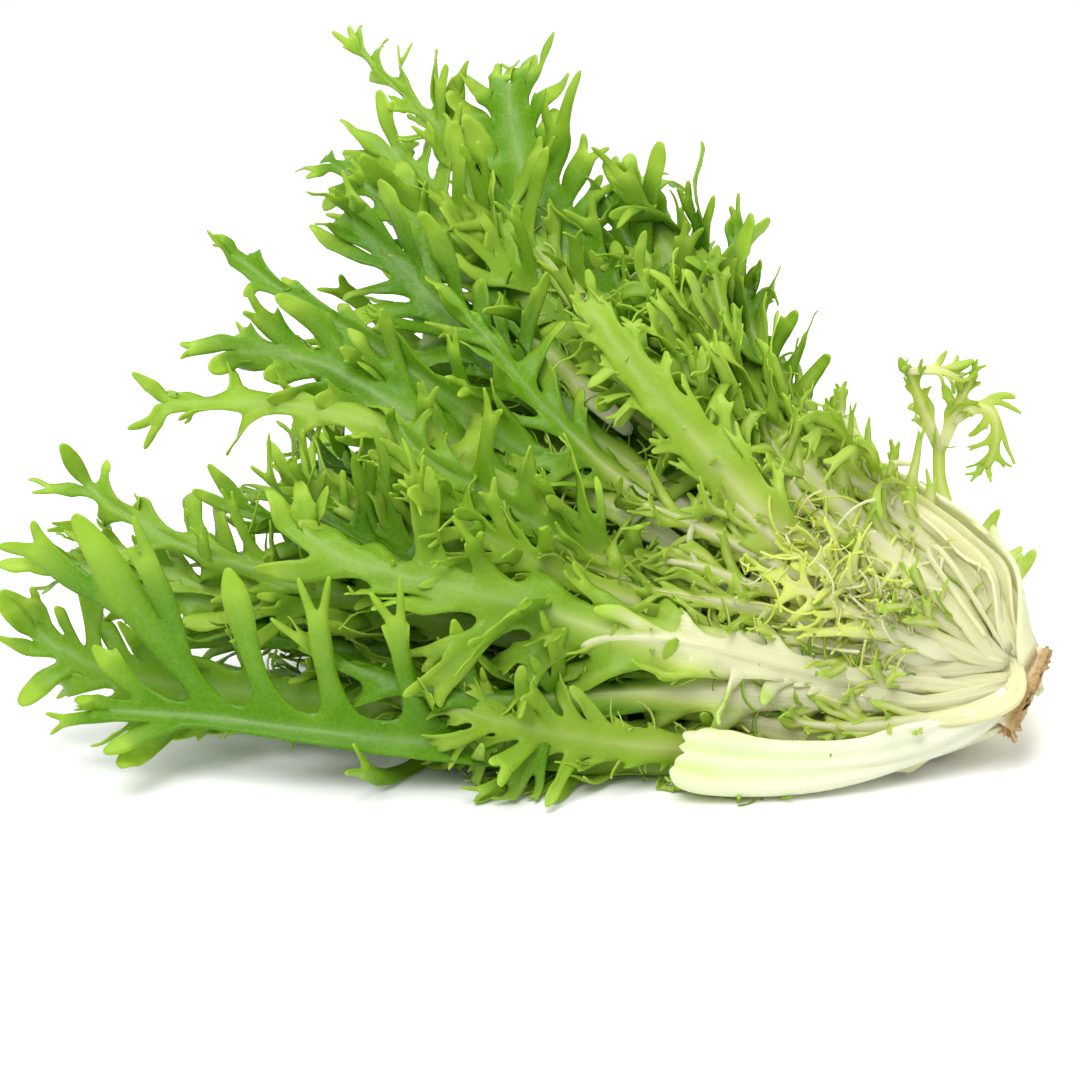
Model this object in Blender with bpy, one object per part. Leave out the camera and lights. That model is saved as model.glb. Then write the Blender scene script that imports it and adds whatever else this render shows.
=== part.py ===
"""Half a head of curly endive, the frilled kind of escarole, lying on its rounded back.

The head was cut lengthwise through its stem. Its leaves are nested shells round the head's axis,
and each shell is a share of the outermost one, which the floor flattens from below, so that leaves
on different shells never cross. A place in the head is a height along the axis, a radius and an
azimuth: 0 is straight behind the cut, -90 degrees its near, lower edge and +90 its upper edge.
Everything is in metres, +Z up, with the origin on the floor below the middle of the part's box.
"""

import math

import bmesh
import bpy
import numpy as np
from mathutils import Vector

# The head: where its stem's butt is, and how its axis and its cut face stand over the floor.
STEM_AT = Vector((0.1722, -0.0816, 0.0270))
AXIS = Vector((-0.893, 0.300, 0.335)).normalized()
VIEW_SIDE = Vector((0.0, -0.940, 0.342))
CUT_FACE_ROLL = math.radians(15)

# The stem that carries the leaves.
STEM_RADIUS = 0.0145
STEM_HEIGHT = 0.036
STEM_RIM = 0.0012
STEM_RINGS = 7
STEM_SIDES = 14

# The outermost shell at the near, back, upper and front sides: its radius at the foot, how far it
# bulges above the foot, its slope, and how far it opens where the blades leave the head.
FOOT = (0.0165, 0.0170, 0.0175, 0.0150)
BULGE = (0.0300, 0.0260, 0.0220, 0.0040)
SLOPE = (0.350, 0.220, 0.200, 0.220)
OPENING = (0.012, 0.020, 0.031, 0.030)
BULGE_HEIGHT = 0.018
OPEN_FROM, OPEN_OVER = 0.105, 0.080
FLOOR_LEVEL = 0.0004
FLOOR_SOFTNESS = 0.0010

# Where the shells leave the stem, and how quickly they swing out from it.
ROOT_LOWEST = 0.004
ROOT_SPREAD = 0.032
ROOT_RISE = 0.020

# The blades.
THICK_AT_ROOT = 0.0020
THICK_AT_TIP = 0.0009
STALK_LENGTH = 0.095
GAP = 0.0006
ROW_WIDTH = math.radians(27)
FRONT_ROOM = math.radians(62)
FREE_FROM, FREE_OVER = 0.095, 0.030

# The separate outer leaves, two rows of them: azimuth in degrees, shell, height of the tip, how
# many degrees the tip sways round the axis, and how far the lobes reach.
OUTER_LEAVES = (
    (-88, 1.00, 0.272, -6, 0.072),
    (-33, 1.00, 0.262, 0, 0.060),
    (25, 1.00, 0.262, 0, 0.060),
    (80, 1.00, 0.243, 6, 0.060),
    (-62, 0.88, 0.280, -8, 0.060),
    (-4, 0.88, 0.276, 0, 0.060),
    (52, 0.88, 0.276, 6, 0.060),
)

# The outermost leaf of all, cut off short between two of the outer row.
TRIMMED_AZIMUTH = math.radians(-61)
TRIMMED_WIDTH = math.radians(14)
TRIMMED_TIP = 0.094
TRIMMED_GAP = math.radians(1.6)

# The leaf bent away behind the head: its rib, from the stem's lowest rim, as offsets from the stem's butt.
BACK_LEAF_AZIMUTH = math.radians(35)
BACK_LEAF_ROOT = 0.0015
BACK_LEAF_RIB = (
    (0.0075, 0.0334, -0.0030),
    (0.0020, 0.0660, -0.0080),
    (-0.0080, 0.0980, 0.0000),
    (-0.0170, 0.1160, 0.0200),
    (-0.0220, 0.1220, 0.0440),
    (-0.0235, 0.1260, 0.0620),
)

# The leaves inside them, placed by the golden angle.
GOLDEN_ANGLE = math.radians(137.508)
INNER_COUNT, INNER_SHELLS = 27, (0.78, 0.42)
INNER_FENCE = (0.36, 0.82)
HEART_COUNT, HEART_SHELLS = 18, (0.33, 0.08)
HEART_FENCE = (0.02, 0.34)


def ease(x):
    """0 to 1 with level ends."""
    x = np.clip(x, 0.0, 1.0)
    return x * x * (3 - 2 * x)


def soft_least(a, b, softness):
    """The smaller of two values, with a smooth change from one to the other."""
    return -softness * np.logaddexp(-a / softness, -b / softness)


def frame_of_head():
    """The head's axis, the cut face's outward normal, and the direction across the cut face, upwards."""
    normal = (VIEW_SIDE - AXIS * VIEW_SIDE.dot(AXIS)).normalized()
    across = AXIS.cross(normal)
    turned = normal * math.cos(CUT_FACE_ROLL) + across * math.sin(CUT_FACE_ROLL)
    return np.array(AXIS), np.array(turned), np.array(AXIS.cross(turned))


ALONG, OUT, ACROSS = frame_of_head()


def to_world(height, radius, azimuth):
    """The world place of a place in the head."""
    radial = np.multiply.outer(np.sin(azimuth), ACROSS) - np.multiply.outer(np.cos(azimuth), OUT)
    return np.array(STEM_AT) + np.multiply.outer(height, ALONG) + radial * np.asarray(radius)[..., None]


def to_head(points):
    """Height, radius and azimuth of world points."""
    local = points - np.array(STEM_AT)
    back, side = -local @ OUT, local @ ACROSS
    return local @ ALONG, np.hypot(back, side), np.arctan2(side, back)


def by_side(values, azimuth):
    """A value that runs smoothly round the axis through those of the near, back, upper and front sides."""
    near, back, upper, front = values
    side, behind = np.sin(azimuth), np.cos(azimuth)
    return (
        near * np.minimum(side, 0) ** 2
        + back * np.maximum(behind, 0) ** 2
        + upper * np.maximum(side, 0) ** 2
        + front * np.minimum(behind, 0) ** 2
    )


def floor_radius(height, azimuth):
    """How far it is from the axis to the floor, or a long way where that direction doesn't go down."""
    down = np.cos(azimuth) * OUT[2] - np.sin(azimuth) * ACROSS[2]
    return (STEM_AT.z + ALONG[2] * height - FLOOR_LEVEL) / np.maximum(down, 0.05)


def outer_radius(height, azimuth):
    """The radius of the outermost shell."""
    height = np.maximum(height, 0.0)
    free = (
        by_side(FOOT, azimuth)
        + by_side(BULGE, azimuth) * (1 - np.exp(-height / BULGE_HEIGHT))
        + by_side(SLOPE, azimuth) * height
        + by_side(OPENING, azimuth) * ease((height - OPEN_FROM) / OPEN_OVER)
    )
    return soft_least(free, floor_radius(height, azimuth), FLOOR_SOFTNESS)


def stem_radius(height):
    """The radius of the stem, a dome."""
    share = np.clip(height / STEM_HEIGHT, 0.0, 1.0)
    return STEM_RADIUS * np.sqrt(1 - share**2)


def root_height(shell):
    return ROOT_LOWEST + (1 - shell) * ROOT_SPREAD


def shell_radius(shell, height, azimuth):
    """The radius of one shell: it leaves the stem at its root and swings out to its share of the outermost."""
    root = root_height(shell)
    start = stem_radius(root) + THICK_AT_ROOT / 2 + GAP
    reach = ease((height - root) / ROOT_RISE + 0.12)
    return start + (shell * outer_radius(height, azimuth) - start) * reach


class Leaf:
    """One leaf: where it grows, and the curved surface that its blade lies in."""

    def __init__(self, shell, azimuth, tip, seed, width=1.0, wave=0.0015, curl=0.0, twist=0.0, sway=0.0, lift=0.0):
        self.shell, self.width, self.wave = shell, width, wave
        self.curl, self.twist, self.lift = curl, twist, lift
        self.draw = np.random.default_rng(seed)
        self.phase = self.draw.uniform(0, 2 * math.pi, 4)
        self.heights = np.linspace(root_height(shell), tip, 80)
        share = np.linspace(0, 1, 80)
        self.azimuths = azimuth + sway * share**2
        rib = to_world(self.heights, shell_radius(shell, self.heights, self.azimuths), self.azimuths)
        rib += np.multiply.outer(self.lift * ease(share * 1.3 - 0.3), OUT)
        self.run = np.concatenate([[0.0], np.cumsum(np.linalg.norm(np.diff(rib, axis=0), axis=1))])
        self.length = self.run[-1]

    def rib_at(self, along):
        """Height and azimuth of the rib, which runs straight on past its tip."""
        height = np.interp(along, self.run, self.heights)
        slope = (self.heights[-1] - self.heights[-8]) / (self.run[-1] - self.run[-8])
        return height + np.maximum(along - self.length, 0) * slope, np.interp(along, self.run, self.azimuths)

    def room(self, along, side, width=ROW_WIDTH):
        """How far the blade may reach to one side: to its row neighbour, or at the base to the knife's plane."""
        height, azimuth = self.rib_at(along)
        radius = float(shell_radius(self.shell, height, azimuth))
        base = min(width, math.pi / 2 - side * azimuth)
        if self.shell == 1.0 and side * (TRIMMED_AZIMUTH - azimuth) > 0:
            base = min(base, abs(TRIMMED_AZIMUTH - azimuth) - TRIMMED_WIDTH - TRIMMED_GAP)
        if side * azimuth > math.radians(70):
            width = max(width, FRONT_ROOM)
        free = ease((height - FREE_FROM) / FREE_OVER)
        return float(radius * (width * free + base * (1 - free)) - GAP)

    def surface(self, along, aside):
        """World points of the blade, from its own flat plan: along the rib, and aside from it."""
        height, azimuth = self.rib_at(along)
        share = along / self.length
        open_share = ease((share - 0.30) / 0.45)
        turn = self.twist * open_share
        radius = np.maximum(shell_radius(self.shell, height, azimuth), 0.010)
        azimuth = azimuth + aside * np.cos(turn) / radius
        ripple = np.sin(along / 0.017 + self.phase[0] + np.sign(aside) * self.phase[1])
        ripple += 0.6 * np.sin(along / 0.0075 + self.phase[2] + np.sign(aside) * self.phase[3])
        edge = np.clip(np.abs(aside) / 0.03, 0, 1.3) ** 1.5 * open_share
        radius = shell_radius(self.shell, height, azimuth)
        radius = radius + aside * np.sin(turn) + self.wave * ripple * edge + self.curl * edge
        points = to_world(height, radius, azimuth)
        return points + np.multiply.outer(self.lift * ease(share * 1.3 - 0.3), OUT)

    def thickness(self, along, aside):
        base = THICK_AT_TIP + (THICK_AT_ROOT - THICK_AT_TIP) * (1 - ease(along / 0.12))
        return base * (1 - 0.35 * np.clip(np.abs(aside) / 0.012, 0, 1) * (1 - ease(along / 0.12)))


class BackLeaf:
    """The leaf that is bent away from the head: a free path instead of a shell."""

    def __init__(self, seed):
        self.width, self.draw = 0.62, np.random.default_rng(seed)
        root = [
            to_world(np.array(BACK_LEAF_ROOT), np.array(STEM_RADIUS + GAP + reach), np.array(BACK_LEAF_AZIMUTH))
            for reach in (0.0, 0.008)
        ]
        knots = np.array(root + [np.array(STEM_AT) + np.array(step) for step in BACK_LEAF_RIB])
        self.rib = smooth_path(knots)
        self.run = np.concatenate([[0.0], np.cumsum(np.linalg.norm(np.diff(self.rib, axis=0), axis=1))])
        self.length = self.run[-1]

    def room(self, along, side, width=ROW_WIDTH):
        return 0.030

    def surface(self, along, aside):
        ahead = np.clip(along / self.length, 0.02, 1.0) * self.length
        point = np.stack([np.interp(along, self.run, self.rib[:, k]) for k in range(3)], axis=-1)
        behind = np.stack([np.interp(ahead - 0.003, self.run, self.rib[:, k]) for k in range(3)], axis=-1)
        before = np.stack([np.interp(ahead, self.run, self.rib[:, k]) for k in range(3)], axis=-1)
        forward = (before - behind) / np.linalg.norm(before - behind, axis=-1, keepdims=True)
        point = point + forward * np.maximum(along - self.length, 0)[..., None]
        turned = ease((along / self.length - 0.22) / 0.4)[..., None]
        radial = to_world(np.array(0.0), np.array(1.0), np.array(BACK_LEAF_AZIMUTH)) - np.array(STEM_AT)
        sideways = np.cross(radial, ALONG) * (1 - turned) + np.array([1.0, 0.0, 0.0]) * turned
        sideways -= forward * np.sum(sideways * forward, axis=-1, keepdims=True)
        sideways /= np.linalg.norm(sideways, axis=-1, keepdims=True)
        cupped = np.cross(sideways, forward) * (aside**2 * 12)[..., None]
        return point + sideways * aside[..., None] + cupped

    def thickness(self, along, aside):
        return np.interp(along, (0.0, 0.12), (0.0018, 0.0010))


def smooth_path(knots, steps=12):
    """Points on a smooth curve through the knots."""
    ends = np.vstack([2 * knots[0] - knots[1], knots, 2 * knots[-1] - knots[-2]])
    t = np.linspace(0, 1, steps, endpoint=False)[:, None]
    pieces = []
    for a, b, c, d in zip(ends, ends[1:], ends[2:], ends[3:]):
        pieces.append(0.5 * (2 * b + (c - a) * t + (2 * a - 5 * b + 4 * c - d) * t**2 + (3 * b - a - 3 * c + d) * t**3))
    return np.vstack(pieces + [knots[-1:]])


class Plan:
    """A leaf's flat outline as a mesh: points (along, aside) and faces, all turned the same way."""

    def __init__(self):
        self.points, self.faces = [], []

    def point(self, along, aside):
        self.points.append((along, aside))
        return len(self.points) - 1

    def strip(self, side, a, b, c, d):
        """Two triangles; the corners run the other way round on the other side of the rib."""
        corners = (a, b, c, d) if side < 0 else (a, d, c, b)
        self.faces += [corners[:3], (corners[0], *corners[2:])]

    def triangle(self, side, a, b, c):
        self.faces.append((a, b, c) if side < 0 else (a, c, b))

    def lobe(self, inner, outer, side, reach, lean, width):
        """A finger grown forwards from the edge between two points of the blade. Its tip is blunt."""
        a, b = np.array(self.points[inner]), np.array(self.points[outer])
        ahead = np.array([math.cos(lean), side * math.sin(lean)])
        beside = np.array([math.sin(lean), -side * math.cos(lean)])
        root = (a + b) / 2
        rows = [(inner, outer)]
        for share, part in ((0.55, 1.0), (0.88, 0.72)):
            middle = root + ahead * reach * share
            rows.append([self.point(*(middle + beside * k * width / 2 * part)) for k in (-1, 1)])
        tip = self.point(*(root + ahead * reach))
        for (p, q), (r, s) in zip(rows, rows[1:]):
            self.strip(side, p, q, s, r)
        self.triangle(side, rows[-1][0], rows[-1][1], tip)


def half_width(leaf, along, side):
    """Half the width of the stalk and of the blade beside the rib, where the lobes grow."""
    share = along / leaf.length
    stalk = 0.0075 + 0.0080 * math.exp(-((along - 0.035) / 0.035) ** 2)
    blade = 0.0075 + 0.0040 * ease((share - 0.35) / 0.3)
    wide = stalk + (blade - stalk) * ease(along / 0.12)
    taper = 1 - 0.55 * ease((share - 0.75) / 0.25)
    return max(0.0012, min(wide * leaf.width * taper, leaf.room(along, side)))


def plan_of(leaf, lobes, reach, stalk=STALK_LENGTH, row_width=ROW_WIDTH):
    """The blade: a stalk in a few wide steps, then pairs of lobes with gaps between them, then a pointed end."""
    plan = Plan()
    length = leaf.length
    stalk = min(stalk, 0.65 * length)
    pitch = (length - stalk) / lobes
    stops = list(np.linspace(0.0, stalk, 6 if length > 0.15 else 4))
    for k in range(lobes):
        start = stalk + k * pitch
        stops += [start + pitch * 0.45, start + pitch]
    rows = []
    for along in stops:
        at_side = {side: half_width(leaf, along, side) for side in (-1, 1)}
        rows.append([plan.point(along, -at_side[-1]), plan.point(along, 0.0), plan.point(along, at_side[1])])
    for near, far in zip(rows, rows[1:]):
        plan.strip(-1, near[0], near[1], far[1], far[0])
        plan.strip(-1, near[1], near[2], far[2], far[1])
    first = len(stops) - 2 * lobes - 1
    for k in range(lobes):
        near, far = rows[first + 2 * k], rows[first + 2 * k + 1]
        swell = 0.50 + 0.70 * math.sin(math.pi * min(1.0, (k + 0.8) / lobes))
        for side, column in ((-1, 0), (1, 2)):
            lean = math.radians(leaf.draw.uniform(36, 54))
            size = reach * swell * leaf.draw.uniform(0.80, 1.2)
            room = leaf.room(stops[first + 2 * k + 1], side, row_width) - abs(plan.points[far[column]][1])
            size = min(size, max(0.004, (room - 0.001) / math.sin(lean)))
            plan.lobe(near[column], far[column], side, size, lean, pitch * 0.40)
    end = rows[-1]
    wide = abs(plan.points[end[2]][1])
    drift = leaf.draw.uniform(-0.25, 0.25)
    for share, part in ((0.30, 1.15), (0.52, 0.70)):
        middle = drift * reach * share
        row = [plan.point(length + reach * share, middle + k * wide * part) for k in (-1, 0, 1)]
        plan.strip(-1, end[0], end[1], row[1], row[0])
        plan.strip(-1, end[1], end[2], row[2], row[1])
        end = row
    tip = plan.point(length + reach * 0.60, drift * reach * 0.60)
    plan.triangle(-1, end[0], end[1], tip)
    plan.triangle(-1, end[1], end[2], tip)
    return plan


def keep_within(points, fence):
    """Points moved towards or away from the axis, so that they lie between two shells and over the floor."""
    low, high = fence
    height, radius, azimuth = to_head(points)
    outer = outer_radius(height, azimuth)
    radius = -soft_least(-radius, -low * outer, 0.0015)
    radius = soft_least(radius, high * outer, 0.0015)
    return to_world(height, radius, azimuth)


def corner_normals(points, faces):
    """Unit normals at the points of a triangle mesh, weighted by area."""
    a, b, c = (points[faces[:, k]] for k in range(3))
    flat = np.cross(b - a, c - a)
    normals = np.zeros_like(points)
    for k in range(3):
        np.add.at(normals, faces[:, k], flat)
    return normals / np.maximum(np.linalg.norm(normals, axis=1, keepdims=True), 1e-12)


def thick_sheet(points, faces, thickness):
    """A closed plate from a sheet: both faces split alike, joined round the rim, and nothing below the floor."""
    faces = np.array(faces)
    normals = corner_normals(points, faces)
    half = thickness[:, None] / 2
    one, other = points + normals * half, points - normals * half
    for face, opposite in ((one, other), (other, one)):
        sunk = face[:, 2] < 0
        face[sunk, 2] = 0.0
        opposite[sunk, 2] = np.maximum(opposite[sunk, 2], THICK_AT_TIP)
    count = len(points)
    edges = {(p, q) for a, b, c in faces for p, q in ((a, b), (b, c), (c, a))}
    rim = sorted((p, q) for p, q in edges if (q, p) not in edges)
    solid = [tuple(f) for f in faces] + [(c + count, b + count, a + count) for a, b, c in faces]
    for p, q in rim:
        solid += [(q, p, p + count), (q, p + count, q + count)]
    return np.vstack([one, other]), solid


def add_object(name, points, faces, material):
    mesh = bpy.data.meshes.new(name)
    mesh.from_pydata([tuple(map(float, p)) for p in points], [], [tuple(map(int, f)) for f in faces])
    shape = bmesh.new()
    shape.from_mesh(mesh)
    bmesh.ops.recalc_face_normals(shape, faces=shape.faces)
    shape.to_mesh(mesh)
    shape.free()
    mesh.materials.append(material)
    made = bpy.data.objects.new(name, mesh)
    bpy.context.scene.collection.objects.link(made)
    return made


def leaf_object(name, leaf, plan, material, fence=None):
    flat = np.array(plan.points)
    points = leaf.surface(flat[:, 0], flat[:, 1])
    if fence:
        points = keep_within(points, fence)
    solid, faces = thick_sheet(points, plan.faces, leaf.thickness(flat[:, 0], flat[:, 1]))
    return add_object(name, solid, faces, material)


def finish_material(name, colour, roughness):
    material = bpy.data.materials.new(name)
    material.use_nodes = True
    shader = material.node_tree.nodes["Principled BSDF"]
    shader.inputs["Base Color"].default_value = (*colour, 1.0)
    shader.inputs["Roughness"].default_value = roughness
    shader.inputs["Metallic"].default_value = 0.0
    return material


def half_stem(material):
    """The halved stem: a dome with a flat cut face, a flat butt and a rounded rim."""
    heights = [0.0, STEM_RIM]
    heights += list(STEM_HEIGHT * (1 - (1 - np.linspace(0, 1, STEM_RINGS)[1:]) ** 1.6))
    rings = []
    for height in heights[:-1]:
        radius = stem_radius(height) - (STEM_RIM if height == 0 else 0) - GAP
        angles = np.linspace(-math.pi / 2, math.pi / 2, STEM_SIDES)
        rings.append(to_world(np.full(STEM_SIDES, height), np.full(STEM_SIDES, radius), angles))
    points = [p for ring in rings for p in ring] + [to_world(np.array(STEM_HEIGHT), np.array(0.0), np.array(0.0))]
    faces = []
    for r in range(len(rings) - 1):
        for k in range(STEM_SIDES - 1):
            a, b = r * STEM_SIDES + k, (r + 1) * STEM_SIDES + k
            faces += [(a, a + 1, b + 1, b)]
        a, b = r * STEM_SIDES, (r + 1) * STEM_SIDES
        faces += [(a, b, b + STEM_SIDES - 1, a + STEM_SIDES - 1)]
    last, tip = (len(rings) - 1) * STEM_SIDES, len(points) - 1
    faces += [(last + k, last + k + 1, tip) for k in range(STEM_SIDES - 1)]
    faces += [(last + STEM_SIDES - 1, last, tip), tuple(range(STEM_SIDES))[::-1]]
    return add_object("stem", points, faces, material)


def wrapped(angle):
    return (angle + math.pi) % (2 * math.pi) - math.pi


def whorl(count, shells, start, reach=math.radians(95)):
    """(shell, azimuth, number) of the leaves behind the knife's plane, by the golden angle, from the outside in."""
    found = []
    for k in range(count):
        azimuth = wrapped(start + k * GOLDEN_ANGLE)
        shell = shells[0] + (shells[1] - shells[0]) * k / (count - 1)
        if abs(azimuth) < reach:
            found.append((shell, azimuth, k))
    return found


def join_leaves(name, objects, material):
    """One solid from many that cross: a union, with loose scraps dropped."""
    group = bpy.data.collections.new(name + "_group")
    bpy.context.scene.collection.children.link(group)
    base, others = objects[0], objects[1:]
    for item in others:
        bpy.context.scene.collection.objects.unlink(item)
        group.objects.link(item)
    union = base.modifiers.new("union", "BOOLEAN")
    union.operation = "UNION"
    union.operand_type = "COLLECTION"
    union.collection = group
    union.solver = "MANIFOLD"
    bpy.context.view_layer.update()
    graph = bpy.context.evaluated_depsgraph_get()
    mesh = bpy.data.meshes.new_from_object(base.evaluated_get(graph))
    for item in others:
        bpy.data.objects.remove(item)
    bpy.data.collections.remove(group)
    bpy.data.objects.remove(base)
    shape = bmesh.new()
    shape.from_mesh(mesh)
    bmesh.ops.triangulate(shape, faces=shape.faces)
    keep_largest(shape)
    shape.to_mesh(mesh)
    shape.free()
    mesh.materials.clear()
    mesh.materials.append(material)
    made = bpy.data.objects.new(name, mesh)
    bpy.context.scene.collection.objects.link(made)
    return made


def keep_largest(shape):
    """Removes every connected shell but the biggest one."""
    left, shells = set(shape.faces), []
    while left:
        todo, shell = [left.pop()], []
        while todo:
            face = todo.pop()
            shell.append(face)
            near = {other for edge in face.edges for other in edge.link_faces} & left
            left -= near
            todo += near
        shells.append(shell)
    shells.sort(key=len)
    drop = [face for shell in shells[:-1] for face in shell]
    bmesh.ops.delete(shape, geom=drop, context="FACES")
    loose = [v for v in shape.verts if not v.link_faces]
    bmesh.ops.delete(shape, geom=loose, context="VERTS")


def leaf_tip(number):
    """The height where an inner leaf's rib ends."""
    return 0.280 + 0.014 * math.sin(number * 2.4)


def outer_leaves(material):
    for place, (degrees, shell, tip, sway, reach) in enumerate(OUTER_LEAVES):
        azimuth = math.radians(degrees)
        curl = 0.016 * float(ease((degrees + 10) / 80)) if shell == 1.0 else 0.0
        leaf = Leaf(shell, azimuth, tip, seed=place, width=1.1, curl=curl, sway=math.radians(sway))
        leaf_object(f"outer_leaf_{place + 1:02d}", leaf, plan_of(leaf, 6, reach), material)


def trimmed_leaf(material):
    """The outermost leaf, cut off bluntly: all that is left is its broad pale stalk."""
    leaf = Leaf(1.0, TRIMMED_AZIMUTH, TRIMMED_TIP, seed=50, wave=0.0)
    plan = Plan()
    rows = []
    for along in np.linspace(0.0, leaf.length, 9):
        height, azimuth = leaf.rib_at(along)
        wide = float(shell_radius(1.0, height, azimuth)) * TRIMMED_WIDTH - GAP
        wide *= 0.70 + 0.30 * float(ease(along / 0.04))
        rows.append([plan.point(along, aside) for aside in np.linspace(-wide, wide, 5)])
    for near, far in zip(rows, rows[1:]):
        for k in range(4):
            plan.strip(-1, near[k], near[k + 1], far[k + 1], far[k])
    leaf_object("trimmed_leaf", leaf, plan, material)


def back_leaf(material):
    leaf = BackLeaf(seed=60)
    leaf_object("back_leaf", leaf, plan_of(leaf, 3, 0.026, stalk=0.110), material)


def inner_leaves(material):
    """The green and pale leaves inside the outer ones. Those by the cut turn forwards over it."""
    made = []
    for shell, azimuth, number in whorl(INNER_COUNT, INNER_SHELLS, start=math.radians(15)):
        side = math.copysign(1.0, azimuth)
        near_cut = float(ease((abs(azimuth) - 0.5) / 0.9))
        tip = leaf_tip(number) - 0.035 * float(ease(math.sin(azimuth))) * float(ease((shell - 0.5) / 0.25))
        leaf = Leaf(
            shell, azimuth, tip, seed=100 + number, wave=0.005,
            twist=side * math.radians(50) * near_cut, sway=side * math.radians(35) * near_cut,
            lift=0.030 * (1 - shell),
        )
        plan = plan_of(leaf, 5, 0.042, row_width=math.radians(60))
        made.append(leaf_object("leaf", leaf, plan, material, INNER_FENCE))
    join_leaves("inner_leaves", made, material)


def heart_leaves(material):
    """The small yellow leaves at the head's heart."""
    made = []
    for shell, azimuth, number in whorl(HEART_COUNT, HEART_SHELLS, start=math.radians(60)):
        leaf = Leaf(shell, azimuth, 0.075 + 0.25 * shell, seed=200 + number, width=0.7, wave=0.003, lift=0.010)
        plan = plan_of(leaf, 3, 0.013, row_width=math.radians(80))
        made.append(leaf_object("leaf", leaf, plan, material, HEART_FENCE))
    join_leaves("heart_leaves", made, material)


def build():
    for item in list(bpy.data.objects):
        bpy.data.objects.remove(item)
    half_stem(finish_material("stem_flesh", (0.80, 0.78, 0.58), 0.45))
    outer_leaves(finish_material("green_leaf", (0.23, 0.45, 0.06), 0.42))
    trimmed_leaf(finish_material("white_leaf", (0.78, 0.80, 0.58), 0.40))
    back_leaf(finish_material("bent_leaf", (0.45, 0.68, 0.16), 0.42))
    inner_leaves(finish_material("pale_leaf", (0.45, 0.62, 0.14), 0.42))
    heart_leaves(finish_material("heart_leaf", (0.72, 0.74, 0.25), 0.42))


build()
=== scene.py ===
"""The look of half a head of curly endive, the frilled kind of escarole, on a plain pale floor."""

import math
from collections import namedtuple

import bmesh
import bpy
import numpy as np
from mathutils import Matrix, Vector


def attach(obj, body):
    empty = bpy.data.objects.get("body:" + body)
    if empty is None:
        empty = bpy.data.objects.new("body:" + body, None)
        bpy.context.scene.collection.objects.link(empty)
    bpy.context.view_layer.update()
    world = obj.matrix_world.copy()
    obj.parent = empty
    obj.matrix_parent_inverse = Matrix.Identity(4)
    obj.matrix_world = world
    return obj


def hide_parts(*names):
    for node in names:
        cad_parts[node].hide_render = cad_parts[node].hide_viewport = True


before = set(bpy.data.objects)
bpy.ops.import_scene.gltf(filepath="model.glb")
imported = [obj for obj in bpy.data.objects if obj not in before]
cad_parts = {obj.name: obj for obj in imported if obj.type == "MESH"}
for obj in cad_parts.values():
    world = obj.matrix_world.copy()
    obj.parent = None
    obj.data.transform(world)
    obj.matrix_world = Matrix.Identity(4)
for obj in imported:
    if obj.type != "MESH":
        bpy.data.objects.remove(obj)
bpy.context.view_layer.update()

# The head's frame and its outermost shell, as the solids have them, in metres.
STEM_AT = np.array((0.1722, -0.0816, 0.0270))
AXIS = Vector((-0.893, 0.300, 0.335)).normalized()
VIEW_SIDE = Vector((0.0, -0.940, 0.342))
CUT_FACE_ROLL = math.radians(15)
STEM_RADIUS, STEM_HEIGHT = 0.0145, 0.036
FOOT = (0.0165, 0.0170, 0.0175, 0.0150)
BULGE = (0.0300, 0.0260, 0.0220, 0.0040)
SLOPE = (0.350, 0.220, 0.200, 0.220)
OPENING = (0.012, 0.020, 0.031, 0.030)
BULGE_HEIGHT = 0.018
OPEN_FROM, OPEN_OVER = 0.105, 0.080
FLOOR_LEVEL, FLOOR_SOFTNESS, LOWEST = 0.0016, 0.0014, 0.0004
ROOT_LOWEST, ROOT_SPREAD, ROOT_RISE = 0.003, 0.032, 0.020
GOLDEN_ANGLE = math.radians(137.508)

# How a leaf is laid out: lengths in metres, angles in radians, chances between 0 and 1. root is the share
# of the stalk's width that it has at its foot.
Habit = namedtuple(
    "Habit", "stalk stalk_half blade_half fingers reach width bend curl twist teeth lobes spines step root"
)
OUTER = Habit(0.095, 0.0150, 0.0065, 9, 0.040, 0.0070, (-0.5, 0.5), 1.4, 1.5, 0.10, 0.55, 0.20, 0.0078, 1.0)
INNER = Habit(0.080, 0.0095, 0.0052, 8, 0.032, 0.0056, (-0.7, 0.6), 1.8, 1.9, 0.10, 0.45, 0.06, 0.0088, 0.5)
CUT = Habit(0.092, 0.0058, 0.0040, 6, 0.020, 0.0045, (-0.7, 0.6), 1.9, 1.9, 0.16, 0.45, 0.03, 0.0064, 0.2)
BROAD = Habit(0.080, 0.0050, 0.0072, 8, 0.030, 0.0070, (-0.6, 0.4), 1.4, 1.5, 0.12, 0.50, 0.08, 0.0074, 0.6)
SLIM = Habit(0.060, 0.0042, 0.0042, 7, 0.024, 0.0053, (-0.7, 0.5), 1.6, 1.7, 0.14, 0.45, 0.10, 0.0066, 0.6)
SMOOTH = Habit(0.045, 0.0070, 0.0088, 7, 0.008, 0.0042, (-0.5, 0.2), 0.7, 0.8, 0.30, 0.05, 0.12, 0.0050, 0.4)
WAVY = Habit(0.070, 0.0046, 0.0026, 5, 0.013, 0.0034, (-0.8, 0.6), 1.9, 1.8, 0.20, 0.35, 0.08, 0.0052, 0.5)
HEART = Habit(0.026, 0.0036, 0.0017, 6, 0.014, 0.0018, (-1.0, 1.0), 2.0, 1.5, 0.0, 0.20, 0.0, 0.0062, 0.3)
PEAK = BROAD._replace(blade_half=0.0135, reach=0.0115, width=0.0095, curl=0.8, twist=0.7, teeth=0.04)
LONG_STALK = SLIM._replace(reach=0.012, width=0.0042, fingers=5, spines=0.1, stalk_half=0.0048)
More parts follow.
